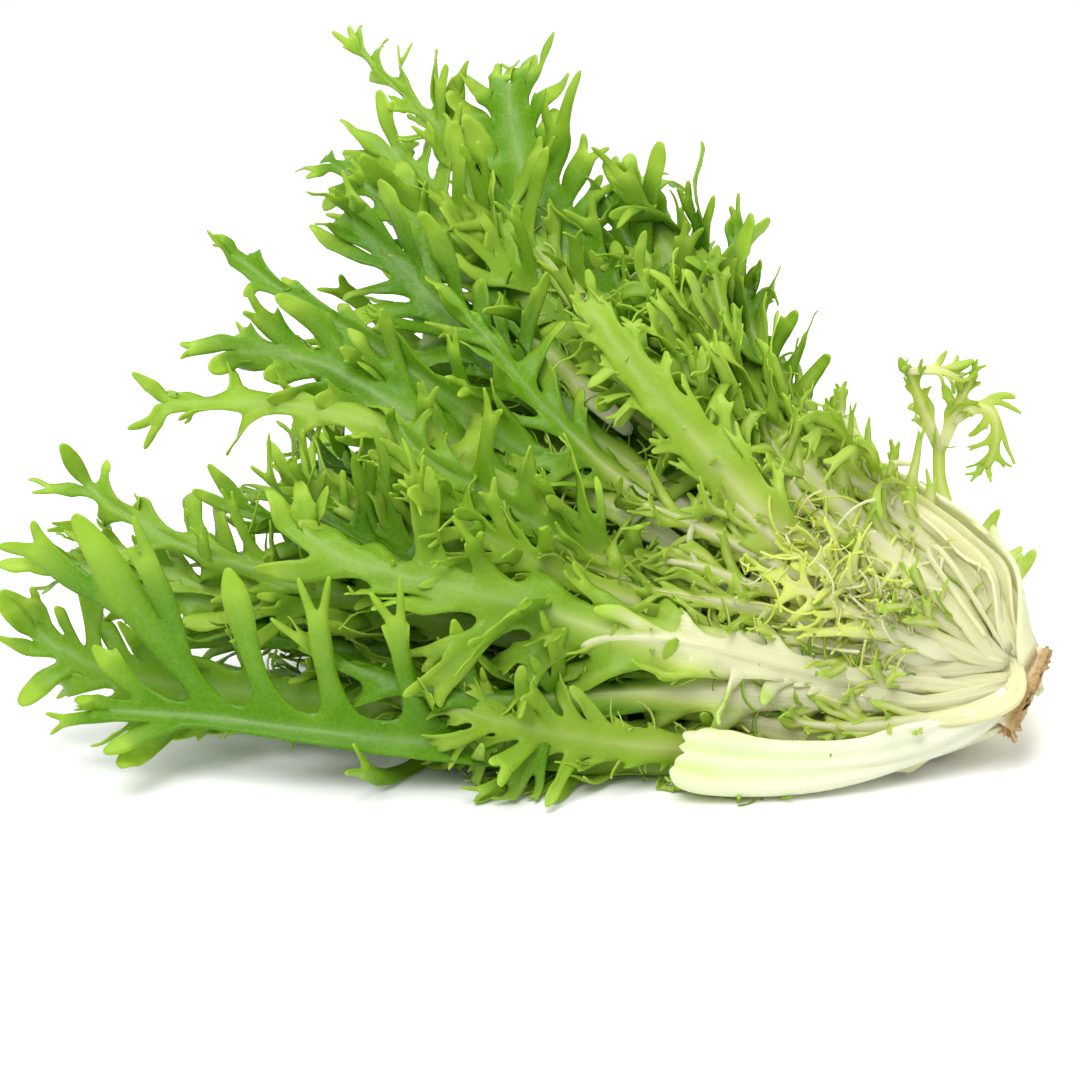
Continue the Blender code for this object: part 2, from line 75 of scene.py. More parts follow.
LOW_STALK = WAVY._replace(spines=0.0, fingers=3, reach=0.004, stalk_half=0.0060, blade_half=0.0050)

# How stalks sway, how far their thin margins wave, how much a blade folds along its rib, and how long the
# waves of edges, margins and stalks are.
STALK_SWAY, MARGIN_WAVE, FOLD = 0.0011, 0.0017, 0.45
SHELL_RIPPLES, PATH_RIPPLES = (0.017, 0.0075), (0.016, 0.0070)
RIPPLE_REACH, MARGIN_REACH, MARGIN_FROM = 0.03, 0.006, 0.040
LONG_FRILL, SHORT_FRILL = 0.0061, 0.0034
SHORT_SWAY, LONG_SWAY, SWAY_FROM = 0.010, 0.024, 0.070

# A stalk rolls over and reaches its full width over these lengths, and a leaf wraps no tighter than
# LEAST_RADIUS. The margins turn green over MARGIN_GREEN_FROM, and a leaf rests on the floor that softly.
ROLL_OVER, STALK_RAMP, LEAST_RADIUS, RIB_POINTS = 0.020, 0.016, 0.010, 80
MARGIN_GREEN_FROM, REST_SOFTNESS, FORK_CHANCE = 0.03, 0.0006, 0.45

# The shape of finished leaves in metres: thickness, swell of the ribs, ripple of the edges and its length.
BODY_INPUTS = ("Thickness", "Rib Swell", "Ripple", "Ripple Size")
OUTER_BODY = (0.0007, 0.0012, 0.008, 0.014)
INNER_BODY = (0.0005, 0.0009, 0.010, 0.012)
LOOSE_BODY = (0.0005, 0.0010, 0.009, 0.013)
STRIP_BODY = (0.0006, 0.0009, 0.004, 0.010)
HEART_BODY = (0.0005, 0.0008, 0.004, 0.008)
HAND_BODY = (0.0008, 0.0018, 0.002, 0.014)
BACK_BODY = (0.0006, 0.0010, 0.002, 0.010)
TRIMMED_BODY = (0.0010, 0.0010, 0.006, 0.012)

# Points closer than SEAM are one. The fine stripes of a stalk are STRIPE_PITCH apart.
SEAM, STRIPE_PITCH = 0.00001, 0.0013

TRAITS = ("edge", "rib", "finger", "aside", "green", "tone", "base")


def ease(x):
    """0 to 1 with level ends."""
    x = np.clip(x, 0.0, 1.0)
    return x * x * (3 - 2 * x)


def soft_least(a, b, softness):
    """The smaller of two values, with a smooth change from one to the other."""
    return -softness * np.logaddexp(-a / softness, -b / softness)


def frame_of_head():
    """The head's axis, the cut face's outward normal, and the direction across the cut face, upwards."""
    normal = (VIEW_SIDE - AXIS * VIEW_SIDE.dot(AXIS)).normalized()
    turned = normal * math.cos(CUT_FACE_ROLL) + AXIS.cross(normal) * math.sin(CUT_FACE_ROLL)
    return np.array(AXIS), np.array(turned), np.array(AXIS.cross(turned))


ALONG, OUT, ACROSS = frame_of_head()


def to_world(height, radius, azimuth):
    """The world place of a height, a radius and an azimuth in the head."""
    radial = np.multiply.outer(np.sin(azimuth), ACROSS) - np.multiply.outer(np.cos(azimuth), OUT)
    return STEM_AT + np.multiply.outer(height, ALONG) + radial * np.asarray(radius)[..., None]


def in_head(places):
    """World points of places in millimetres: height, distance across the cut face, and in front of it."""
    return STEM_AT + np.array(places) / 1000 @ np.array([ALONG, ACROSS, OUT])


def by_side(values, azimuth):
    """A value that runs smoothly round the axis through those of the near, back, upper and front sides."""
    near, back, upper, front = values
    side, behind = np.sin(azimuth), np.cos(azimuth)
    return (
        near * np.minimum(side, 0) ** 2
        + back * np.maximum(behind, 0) ** 2
        + upper * np.maximum(side, 0) ** 2
        + front * np.minimum(behind, 0) ** 2
    )


def outer_radius(height, azimuth):
    """The radius of the outermost shell, which the floor flattens."""
    height = np.maximum(height, 0.0)
    free = (
        by_side(FOOT, azimuth)
        + by_side(BULGE, azimuth) * (1 - np.exp(-height / BULGE_HEIGHT))
        + by_side(SLOPE, azimuth) * height
        + by_side(OPENING, azimuth) * ease((height - OPEN_FROM) / OPEN_OVER)
    )
    down = np.cos(azimuth) * OUT[2] - np.sin(azimuth) * ACROSS[2]
    floor = (STEM_AT[2] + ALONG[2] * height - FLOOR_LEVEL) / np.maximum(down, 0.05)
    return soft_least(free, floor, FLOOR_SOFTNESS)


def root_height(shell):
    """The height on the stem at which the leaves of a shell grow."""
    return ROOT_LOWEST + (1 - shell) * ROOT_SPREAD


def shell_radius(shell, height, azimuth):
    """The radius of one shell: it leaves the stem at its root and swings out to its share of the outermost.

    In front of the cut face it starts on that face.
    """
    root = root_height(shell)
    start = STEM_RADIUS * math.sqrt(1 - (root / STEM_HEIGHT) ** 2) * 0.97
    start = start * (1 - 0.9 * ease(-2.5 * np.cos(azimuth)))
    return start + (shell * outer_radius(height, azimuth) - start) * ease((height - root) / ROOT_RISE + 0.12)


def run_along(path):
    """How far each point of a path lies along it."""
    return np.concatenate([[0.0], np.cumsum(np.linalg.norm(np.diff(path, axis=0), axis=1))])


def ripple(along, aside, phase, lengths):
    """Two waves of a blade's edges, which differ from side to side."""
    side = np.sign(aside)
    slow = np.sin(along / lengths[0] + phase[0] + side * phase[1])
    return slow + 0.6 * np.sin(along / lengths[1] + phase[2] + side * phase[3])


def edge_share(aside):
    """How much of the edges' waves a place beside the rib takes up."""
    return np.clip(np.abs(aside) / RIPPLE_REACH, 0, 1.3) ** 1.5


def margin_wave(along, aside, phase):
    """How far the thin margins of a stalk stand off its plane, in waves that differ from side to side."""
    margin = np.clip(np.abs(aside) / MARGIN_REACH, 0, 1.2) ** 2 * ease(along / MARGIN_FROM)
    waves = np.sin(along / SHORT_FRILL + phase[3] + 2 * np.sign(aside))
    waves += 0.7 * np.sin(along / LONG_FRILL + phase[0] - np.sign(aside))
    return margin * waves


class ShellLeaf:
    """Where a leaf of the head lies: its rib runs up one shell, and its blade wraps round the axis."""

    def __init__(
        self, shell, azimuth, tip, draw,
        sway=0.0, twist=0.0, lift=0.0, roll=0.12, wave=0.004, curl=0.0, frill=MARGIN_WAVE,
    ):
        self.shell, self.twist, self.lift, self.roll = shell, twist, lift, roll
        self.wave, self.curl, self.frill = wave, curl, frill
        self.phase, self.fold = draw.uniform(0, 2 * math.pi, 4), draw.uniform(-FOLD, FOLD)
        self.heights = np.linspace(root_height(shell), tip, RIB_POINTS)
        share = np.linspace(0, 1, RIB_POINTS)
        self.azimuths = azimuth + sway * share**2
        radius = shell_radius(shell, self.heights, self.azimuths)
        self.run = run_along(to_world(self.heights, radius, self.azimuths) + self.raised(share))
        self.length = self.run[-1]

    def raised(self, share):
        """How far the leaf lifts out of the halved head towards its tip."""
        return np.multiply.outer(self.lift * ease(share * 1.3 - 0.3), OUT)

    def place(self, plan):
        """World points of places on the flat leaf: along the rib, aside from it, and off its plane."""
        along, aside, off = plan.T
        height = np.interp(along, self.run, self.heights)
        slope = (self.heights[-1] - self.heights[-8]) / (self.run[-1] - self.run[-8])
        height = height + np.maximum(along - self.length, 0) * slope
        azimuth = np.interp(along, self.run, self.azimuths)
        share = along / self.length
        opened = ease((share - 0.30) / 0.45)
        turn = self.roll * ease(along / ROLL_OVER + 0.35) + self.twist * opened
        waves = self.wave * ripple(along, aside, self.phase, SHELL_RIPPLES)
        off = off + (waves + self.curl) * (edge_share(aside) * opened)
        off = off + self.fold * np.abs(aside) * opened
        off = off + self.frill * margin_wave(along, aside, self.phase) * (1 - opened)
        radius = np.maximum(shell_radius(self.shell, height, azimuth), LEAST_RADIUS)
        azimuth = azimuth + (aside * np.cos(turn) - off * np.sin(turn)) / radius
        sway = np.sin(height / SHORT_SWAY + self.phase[1]) + 1.6 * np.sin(height / LONG_SWAY + self.phase[2])
        radius = shell_radius(self.shell, height, azimuth) + STALK_SWAY * ease(height / SWAY_FROM) * sway
        radius = radius + aside * np.sin(turn) + off * np.cos(turn)
        return to_world(height, radius, azimuth) + self.raised(share)


class PathLeaf:
    """Where a leaf lies that goes its own way: its rib's path, and its blade's turn from the cut face."""

    def __init__(self, knots, turns, draw, cup=5.0, wave=0.003):
        self.rib, self.turns = smooth_path(knots), np.radians(turns)
        self.cup, self.wave = cup, wave
        self.phase, self.fold = draw.uniform(0, 2 * math.pi, 4), draw.uniform(-FOLD, FOLD)
        self.run = run_along(self.rib)
        self.length = self.run[-1]

    def on_rib(self, along):
        return np.stack([np.interp(along, self.run, self.rib[:, k]) for k in range(3)], axis=-1)

    def place(self, plan):
        """World points of places on the flat leaf."""
        along, aside, off = plan.T
        near = 0.01 * self.length
        ahead = np.clip(along, near, 0.99 * self.length)
        forward = self.on_rib(ahead + near) - self.on_rib(ahead - near)
        forward /= np.linalg.norm(forward, axis=-1, keepdims=True)
        level = np.cross(forward, OUT)
        level /= np.linalg.norm(level, axis=-1, keepdims=True)
        lifted = np.cross(level, forward)
        turn = np.interp(along / self.length, np.linspace(0, 1, len(self.turns)), self.turns)[:, None]
        sideways = level * np.cos(turn) + lifted * np.sin(turn)
        normal = np.cross(sideways, forward)
        opened = ease(along / self.length * 2 - 0.4)
        waves = self.wave * ripple(along, aside, self.phase, PATH_RIPPLES) * edge_share(aside)
        off = off + self.cup * aside**2 + waves + self.fold * np.abs(aside) * opened
        off = off + MARGIN_WAVE * margin_wave(along, aside, self.phase) * (1 - opened)
        past = forward * np.maximum(along - self.length, 0)[:, None]
        return self.on_rib(along) + past + sideways * aside[:, None] + normal * off[:, None]


def smooth_path(knots, steps=12):
    """Points on a smooth curve through the knots."""
    ends = np.vstack([2 * knots[0] - knots[1], knots, 2 * knots[-1] - knots[-2]])
    t = np.linspace(0, 1, steps, endpoint=False)[:, None]
    pieces = []
    for a, b, c, d in zip(ends, ends[1:], ends[2:], ends[3:]):
        cubic = (3 * b - a - 3 * c + d) * t**3 + (2 * a - 5 * b + 4 * c - d) * t**2
        pieces.append(0.5 * (2 * b + (c - a) * t + cubic))
    return np.vstack(pieces + [knots[-1:]])


class Sheet:
    """A leaf laid flat: its points, what each is part of, and its faces."""

    def __init__(self):
        self.points, self.traits, self.faces, self.rims = [], [], [], []

    def point(self, place, edge, rib, finger):
        self.points.append(tuple(place))
        self.traits.append((edge, rib, finger))
        return len(self.points) - 1

    def bridge(self, near, far):
        """Quads between two rows of as many points."""
        for k in range(len(near) - 1):
            self.faces.append((near[k], near[k + 1], far[k + 1], far[k]))

    def bridge_all(self, rows):
        for near, far in zip(rows, rows[1:]):
            self.bridge(near, far)

    def middle(self, row):
        return np.mean([self.points[i] for i in row], axis=0)

    def half(self, pair):
        """Half the way from one point to the other."""
        return (np.array(self.points[pair[1]]) - np.array(self.points[pair[0]])) / 2


def grow_tooth(sheet, base, direction, length, finger):
    """A small pointed tooth on one step of an edge."""
    middle, half = sheet.middle(base), sheet.half(base)
    shoulder = middle + direction * length * 0.55
    row = [sheet.point(shoulder + half * k, 1.0, 0.0, finger) for k in (-0.45, 0.55)]
    tip = sheet.point(middle + direction * length + half * 0.35, 1.0, 0.0, 1.0)
    sheet.bridge(base, row)
    sheet.faces.append((row[0], row[1], tip))


def grow_prong(sheet, base, direction, length, finger):
    """One of the two prongs of a forked finger, with a rounded tip."""
    middle, half = sheet.middle(base), sheet.half(base)
    for share, part in ((0.45, 0.96), (0.85, 0.72), (1.05, 0.32)):
        centre, reached = middle + direction * length * share, finger + (1 - finger) * share
        row = [sheet.point(centre + half * part * c, 1.0, 0.1, reached) for c in (-1, 1)]
        sheet.bridge(base, row)
        base = row


def grow_end(sheet, base, forward, across, width):
    """The rounded end of a finger that isn't forked."""
    middle = sheet.middle(base)
    for share, part in ((0.55, 0.82), (1.02, 0.33)):
        centre, aside = middle + forward * width * share, across * width * part
        row = [sheet.point(centre + aside * c / 2, 1.0, 0.2 * (1 - abs(c)), 1.0) for c in (-1, 0, 1)]
        sheet.bridge(base, row)
        base = row


Finger = namedtuple("Finger", "root side heading length width bend curl twist lift lobes")


def chance_finger(habit, draw, root, side, size):
    """A finger as the habit has it, with its measures left to chance."""
    return Finger(
        root, side, draw.uniform(0.25, 1.1), size, habit.width * draw.uniform(0.65, 1.30),
        draw.uniform(*habit.bend), draw.uniform(-1, 1) * habit.curl, draw.uniform(-1, 1) * habit.twist,
        0.0, habit.lobes,
    )


def finger_ways(angle, pitch, roll, side):
    """The way in which a finger goes at one place, and the way across it."""
    forward = (math.cos(angle) * math.cos(pitch), side * math.sin(angle) * math.cos(pitch), math.sin(pitch))
    across = (math.sin(angle) * math.cos(roll), -side * math.cos(angle) * math.cos(roll), math.sin(roll))
    return np.array(forward), np.array(across)


def grow_finger(sheet, finger, habit, draw):
    """A finger from three points of a rim. It bends in the blade's plane, curls out of it and branches."""
    root, side, heading, length, width, bend, curl, twist, lift, lobes = finger
    rows = max(3, round(length / habit.step))
    neck, crease = draw.uniform(0.55, 0.90), draw.uniform(-0.25, 0.45)
    branches = {}
    for column in (0, 2) if rows > 3 else ():
        if draw.uniform() < lobes:
            branches[column] = int(draw.integers(0, rows - 2))
    here, last = sheet.middle(root), root
    rims = {0: [root[0]], 2: [root[2]]}
    for k in range(1, rows + 1):
        share = k / rows
        forward, across = finger_ways(heading + bend * share, lift + curl * share, twist * share, side)
        here = here + forward * length / rows
        half = width / 2 * (neck + (1 - neck) * math.sin(math.pi * share * 0.68) ** 2)
        half *= draw.uniform(0.85, 1.15)
        fold = np.cross(forward, across) * half * crease
        row = [
            sheet.point(
                here + across * half * c + fold * abs(c),
                0.4 + 0.6 * max(abs(c), share), 0.6 * (1 - abs(c)), share,
            )
            for c in (-1, 0, 1)
        ]
        sheet.bridge(last, row)
        for column, away in ((0, -across), (2, across)):
            rims[column].append(row[column])
            branched = column in branches and k - branches[column] in (1, 2)
            if k > 1 and not branched and draw.uniform() < habit.teeth:
                direction = forward * math.cos(0.8) + away * math.sin(0.8)
                step = (last[column], row[column])
                grow_tooth(sheet, step, direction, width * draw.uniform(0.25, 0.85), share)
        last = row
    if draw.uniform() < FORK_CHANCE:
        for pair, away in ((last[:2], -across), (last[1:], across)):
            spread = draw.uniform(0.10, 0.60)
            direction = forward * math.cos(spread) + away * math.sin(spread)
            grow_prong(sheet, pair, direction, width * draw.uniform(0.5, 1.8), 0.85)
    else:
        grow_end(sheet, last, forward, across, width * draw.uniform(0.7, 1.1))
    for column, start in branches.items():
        turn, share = 1 - column, (start + 1) / rows
        grow_finger(sheet, Finger(
            root=tuple(rims[column][start:start + 3][::turn]), side=side,
            heading=heading + bend * share + turn * draw.uniform(0.5, 1.0),
            length=length * draw.uniform(0.35, 0.60), width=width * draw.uniform(0.60, 0.90),
            bend=-turn * draw.uniform(0.1, 0.8), curl=draw.uniform(-1, 1) * habit.curl * 0.6,
            twist=draw.uniform(-1, 1) * habit.twist * 0.5, lift=lift + curl * share, lobes=0.0,
        ), habit, draw)


def half_width(habit, along, stalk, length, end_width):
    """Half the width of a leaf's stalk and of the blade beside its rib."""
    base = habit.stalk_half * (0.75 + 0.25 * math.exp(-(((along - 0.4 * stalk) / (0.45 * stalk)) ** 2)))
    base *= habit.root + (1 - habit.root) * float(ease(along / STALK_RAMP))
    blade = habit.blade_half * (1 - (1 - end_width) * ease((along - stalk) / (length - stalk)))
    return base + (blade - base) * float(ease(along / stalk - 0.2))


def lay_leaf(length, habit, draw, end_width=0.5, chosen=()):
    """The whole flat leaf: a stalk with small spines, and a blade with fingers on its edges and its end.

    chosen gives the fingers that aren't left to chance: step, side, heading, length, width, bend, curl.
    """
    sheet = Sheet()
    length = length - 0.5 * habit.reach
    stalk = min(habit.stalk, 0.5 * length)
    stops = list(np.linspace(0.0, stalk, max(4, round(stalk / (0.8 * habit.step)))))
    first = len(stops) - 1
    pitches = draw.uniform(0.7, 1.3, 3 * habit.fingers)
    stops += list(stalk + (length - stalk) * np.cumsum(pitches) / pitches.sum())
    rows = []
    for along in stops:
        half = half_width(habit, along, stalk, length, end_width)
        opened = float(ease((along - 0.5 * stalk) / stalk))
        rows.append([
            sheet.point((along, c * half, 0.0), opened * abs(c), 1 - abs(c), 0.0)
            for c in (-1.0, -0.5, 0.0, 0.5, 1.0)
        ])
    sheet.bridge_all(rows)
    sheet.rims = [(row[1], row[0], row[3], row[4]) for row in rows[1:first + 2]]
    for near, far in zip(rows[3:first], rows[4:first + 1]):
        for column, side in ((0, -1), (4, 1)):
            if draw.uniform() < habit.spines:
                direction = np.array((0.75, side * 0.65, draw.uniform(-0.5, 0.5)))
                grow_tooth(sheet, (near[column], far[column]), direction, draw.uniform(0.002, 0.006), 0.3)
    for start, side, heading, size, width, bend, curl in chosen:
        root = [rows[first + start + j][0 if side < 0 else 4] for j in range(3)]
        finger = Finger(root, side, heading, size, width, bend, curl, 0.3, 0.0, habit.lobes)
        grow_finger(sheet, finger, habit, draw)
    for k in range(0 if chosen else habit.fingers):
        swell = 0.55 + 0.55 * math.sin(math.pi * min(1.0, (k + 1.0) / habit.fingers))
        for side, column, shift in ((-1, 0, 0), (1, 4, 1)):
            start = first + 3 * k + shift
            if start + 2 >= len(rows):
                continue
            root = [rows[start + j][column] for j in range(3)]
            size = habit.reach * swell * draw.uniform(0.5, 1.4)
            grow_finger(sheet, chance_finger(habit, draw, root, side, size), habit, draw)
    end = rows[-1]
    for side, root in ((-1, end[:3]), (1, end[:1:-1])):
        size = habit.reach * draw.uniform(0.45, 0.85)
        finger = chance_finger(habit, draw, root, side, size)._replace(heading=draw.uniform(0.05, 0.35))
        grow_finger(sheet, finger, habit, draw)
    return sheet


def unit(way):
    return way / np.linalg.norm(way)


def set_values(mesh, name, values):
    """A value for each point of a mesh, or one for all."""
    data = mesh.attributes.new(name, "FLOAT", "POINT").data
    data.foreach_set("value", np.full(len(mesh.vertices), values, dtype=np.float32))


class Bunch:
    """Leaves that make one piece: placed points, traits and faces, and seats for threads on their stalks."""

    def __init__(self):
        self.points, self.traits, self.faces = [], [], []
        self.seats, self.outward = [], []

    def add(self, leaf, sheet, pale_to, green_from, tone, scarred=False, margin=0.0):
        """Puts a flat leaf in its place.

        It is white up to pale_to along its rib and green from green_from. Its tone runs from light, -1, to
        deep, 1, and margin says how green the thin margins of its stalk are.
        """
        plan, traits = np.array(sheet.points), np.array(sheet.traits)
        placed = leaf.place(plan)
        placed[:, 2] = -soft_least(-placed[:, 2], -FLOOR_LEVEL, REST_SOFTNESS)
        green = (plan[:, 0] - pale_to) / (green_from - pale_to) + 0.25 * (traits[:, 0] - 0.5)
        green += margin * (1 - traits[:, 1]) ** 2 * ease(plan[:, 0] / MARGIN_GREEN_FROM)
        green = np.clip(green, 0, 1)
        start = sum(len(p) for p in self.points)
        base = plan[:, 0] + (0.0 if scarred else 1.0)
        self.points.append(placed)
        self.traits.append(np.column_stack([traits, plan[:, 1], green, np.full(len(plan), tone), base]))
        self.faces += [tuple(i + start for i in f) for f in sheet.faces]
        return placed

    def fringe(self, placed, sheet, per_step, draw):
        """Seats for threads along both edges of a leaf's stalk, each with the way that its thread goes."""
        for (a, b, c, d), (_, e, _, f) in zip(sheet.rims[2:], sheet.rims[3:]):
            for inner, rim, ahead in ((a, b, e), (c, d, f)):
                outward, forward = placed[rim] - placed[inner], placed[ahead] - placed[rim]
                for share in draw.uniform(0, 1, per_step):
                    self.seats.append(placed[rim] + forward * share - outward * 0.05)
                    self.outward.append(unit(outward) + unit(forward) * draw.uniform(0.2, 1.2))

    def fringe_blade(self, placed, sheet, count, draw):
        """Seats for threads on the fingers of a small leaf, each thread going outwards."""
        tips = [i for i, (_, _, finger) in enumerate(sheet.traits) if finger > 0.3]
        for i in draw.choice(tips, min(len(tips), count), replace=False):
            self.seats.append(placed[i])
            self.outward.append(placed[i] - placed[i - 1] + draw.uniform(-1, 1, 3) * 0.002)

    def seat_mesh(self, name, green, tone):
        """The seats of the threads, each a point with its way and its colour."""
        mesh = bpy.data.meshes.new(name)
        mesh.from_pydata(np.array(self.seats).tolist(), [], [])
        ways = mesh.attributes.new("outward", "FLOAT_VECTOR", "POINT").data
        ways.foreach_set("vector", np.array(self.outward, dtype=np.float32).ravel())
        shades = np.random.default_rng(len(self.seats)).uniform(-0.35, 0.35, len(self.seats))
        traits = {"green": green + shades, "tone": tone, "finger": 0.2, "rib": 0.0, "base": 1.0}
        for trait, values in traits.items():
            set_values(mesh, trait, values)
        return mesh

    def mesh(self, name):
        """The flat sheets of all leaves in their places."""
        mesh = bpy.data.meshes.new(name)
        mesh.from_pydata(np.vstack(self.points).tolist(), [], self.faces)
        shape = bmesh.new()
        shape.from_mesh(mesh)
        bmesh.ops.recalc_face_normals(shape, faces=shape.faces)
        shape.to_mesh(mesh)
        shape.free()
        for trait, values in zip(TRAITS, np.vstack(self.traits).T):
            set_values(mesh, trait, values)
        return mesh


class Tree:
    """A node tree, with short ways to add and join its nodes."""

    def __init__(self, tree):
        self.tree = tree

    def fill(self, node, inputs):
        """Links or sets inputs of a node."""
        for key, value in inputs.items():
            if isinstance(value, bpy.types.NodeSocket):
                self.tree.links.new(value, node.inputs[key])
            else:
                node.inputs[key].default_value = value

    def add(self, kind, inputs=None, output=0, **settings):
        """One output of a new node."""
        node = self.tree.nodes.new(kind)
        for key, value in settings.items():
            setattr(node, key, value)
        self.fill(node, inputs or {})
        return node.outputs[output]

    def math(self, operation, a, b=0.0, clamp=False):
        return self.add("ShaderNodeMath", {0: a, 1: b}, operation=operation, use_clamp=clamp)

    def plus(self, a, b, clamp=False):
        return self.math("ADD", a, b, clamp)

    def minus(self, a, b):
        return self.math("SUBTRACT", a, b)

    def times(self, a, b, clamp=False):
        return self.math("MULTIPLY", a, b, clamp)

    def power(self, a, b):
        return self.math("POWER", a, b)

    def scaled(self, vector, scale):
        return self.add("ShaderNodeVectorMath", {0: vector, "Scale": scale}, operation="SCALE")

    def point_value(self, name, kind="FLOAT"):
        """The value of a point attribute, in a Geometry Nodes tree."""
        return self.add("GeometryNodeInputNamedAttribute", {"Name": name}, "Attribute", data_type=kind)

    def along_normal(self, geometry, distance):
        """Every point of the mesh moved along its normal."""
        offset = self.scaled(self.add("GeometryNodeInputNormal"), distance)
        return self.add("GeometryNodeSetPosition", {"Geometry": geometry, "Offset": offset})

    def attribute(self, name):
        """The value of an attribute, in a material."""
        return self.add("ShaderNodeAttribute", output="Fac", attribute_name=name)

    def noise(self, place, scale, detail):
        return self.add("ShaderNodeTexNoise", {"Vector": place, "Scale": scale, "Detail": detail})

    def cells(self, place, scale, feature="F1"):
        return self.add("ShaderNodeTexVoronoi", {"Vector": place, "Scale": scale}, feature=feature)

    def ramp(self, value, start, end, low=0.0, high=1.0):
        """From low to high, as a value goes from start to end."""
        return self.add("ShaderNodeMapRange", {"Value": value, 1: start, 2: end, 3: low, 4: high})

    def blend(self, share, a, b):
        """A colour between two others."""
        a, b = ((*colour, 1.0) if isinstance(colour, tuple) else colour for colour in (a, b))
        return self.add("ShaderNodeMix", {0: share, 6: a, 7: b}, output=2, data_type="RGBA")

    def bump(self, height, strength, distance):
        return self.add("ShaderNodeBump", {"Height": height, "Strength": strength, "Distance": distance})


def shape_tree(name, inputs):
    """A Geometry Nodes tree with named inputs: its Tree, its input sockets, and a function that ends it."""
    group = bpy.data.node_groups.new(name, "GeometryNodeTree")
    for label, kind in (("Geometry", "Geometry"), *inputs, ("Material", "Material")):
        group.interface.new_socket(label, in_out="INPUT", socket_type="NodeSocket" + kind)
    group.interface.new_socket("Geometry", in_out="OUTPUT", socket_type="NodeSocketGeometry")
    tree = Tree(group)
    entry = group.nodes.new("NodeGroupInput").outputs

    def end(geometry):
        real = tree.add("GeometryNodeRealizeInstances", {"Geometry": geometry})
        painted = tree.add("GeometryNodeSetMaterial", {"Geometry": real, "Material": entry["Material"]})
        tree.fill(group.nodes.new("NodeGroupOutput"), {0: painted})
        return group

    return tree, entry, end


def leaf_body_tree():
    """A sheet is smoothed, rippled towards its edges, and given a thickness that swells along its ribs."""
    tree, entry, end = shape_tree("leaf_body", (
        ("Thickness", "Float"), ("Rib Swell", "Float"), ("Ripple", "Float"), ("Ripple Size", "Float"),
        ("Smoothing", "Int"), ("Seed", "Float"),
    ))
    levels = {"Mesh": entry["Geometry"], "Level": entry["Smoothing"]}
    smooth = tree.add("GeometryNodeSubdivisionSurface", levels)
    scale = tree.math("DIVIDE", 1.0, entry["Ripple Size"])
    waves = {"W": entry["Seed"], "Detail": 1.5, "Scale": scale}
    noise = tree.add("ShaderNodeTexNoise", waves, noise_dimensions="4D")
    swing = tree.times(tree.minus(noise, 0.5), entry["Ripple"])
    rippled = tree.along_normal(smooth, tree.times(swing, tree.point_value("edge")))
    lift = {"Mesh": rippled, "Offset Scale": entry["Thickness"], "Individual": False}
    raised = tree.add("GeometryNodeExtrudeMesh", lift)
    under = tree.add("GeometryNodeFlipFaces", {"Mesh": rippled})
    joined = tree.tree.nodes.new("GeometryNodeJoinGeometry")
    for side in (raised, under):
        tree.fill(joined, {0: side})
    closed = tree.add("GeometryNodeMergeByDistance", {"Geometry": joined.outputs[0], "Distance": SEAM})
    young = tree.minus(1.15, tree.point_value("green"))
    rib = tree.plus(tree.power(tree.point_value("rib"), 2.0), tree.times(young, 0.30))
    thick = tree.along_normal(closed, tree.times(tree.times(rib, young), entry["Rib Swell"]))
    return end(tree.add("GeometryNodeSetShadeSmooth", {"Geometry": thick}))


def thread_tree():
    """A curled, tapering thread on every seat, turned and sized at random."""
    tree, entry, end = shape_tree("threads", (
        ("Length", "Float"), ("Width", "Float"), ("Sweep", "Float"), ("Wildness", "Float"), ("Seed", "Int"),
    ))
    radius = tree.math("DIVIDE", entry["Length"], entry["Sweep"])
    bow = {"Radius": radius, "Sweep Angle": entry["Sweep"], "Resolution": 7}
    back = tree.add("ShaderNodeCombineXYZ", {"X": tree.times(radius, -1.0)})
    rooted = {"Geometry": tree.add("GeometryNodeCurveArc", bow), "Translation": back}
    share = tree.add("GeometryNodeSplineParameter", output="Factor")
    taper = tree.minus(1.0, tree.times(share, 0.75))
    thinned = {"Curve": tree.add("GeometryNodeTransform", rooted), "Radius": taper}
    ring = {"Resolution": 3, "Radius": tree.times(entry["Width"], 0.5)}
    thread = tree.add("GeometryNodeCurveToMesh", {
        "Curve": tree.add("GeometryNodeSetCurveRadius", thinned),
        "Profile Curve": tree.add("GeometryNodeCurvePrimitiveCircle", ring),
        "Fill Caps": True,
    })
    way = {"Vector": tree.point_value("outward", "FLOAT_VECTOR")}
    aligned = tree.add("FunctionNodeAlignRotationToVector", way, axis="Y")
    wild = tree.add("ShaderNodeCombineXYZ", {"X": entry["Wildness"], "Y": math.pi, "Z": entry["Wildness"]})
    reach = {"Min": tree.scaled(wild, -1.0), "Max": wild, "Seed": entry["Seed"]}
    chance = tree.add("FunctionNodeRandomValue", reach, data_type="FLOAT_VECTOR")
    turn = {"Rotation": aligned, "Rotate By": tree.add("FunctionNodeEulerToRotation", {"Euler": chance})}
    sizes = {2: 0.35, 3: 1.45, "Seed": entry["Seed"]}
    return end(tree.add("GeometryNodeInstanceOnPoints", {
        "Points": entry["Geometry"], "Instance": thread,
        "Rotation": tree.add("FunctionNodeRotateRotation", turn, rotation_space="LOCAL"),
        "Scale": tree.add("FunctionNodeRandomValue", sizes, output=1, data_type="FLOAT"),
    }))


def put(name, data):
    """A new object in the scene."""
    made = bpy.data.objects.new(name, data)
    bpy.context.scene.collection.objects.link(made)
    return made


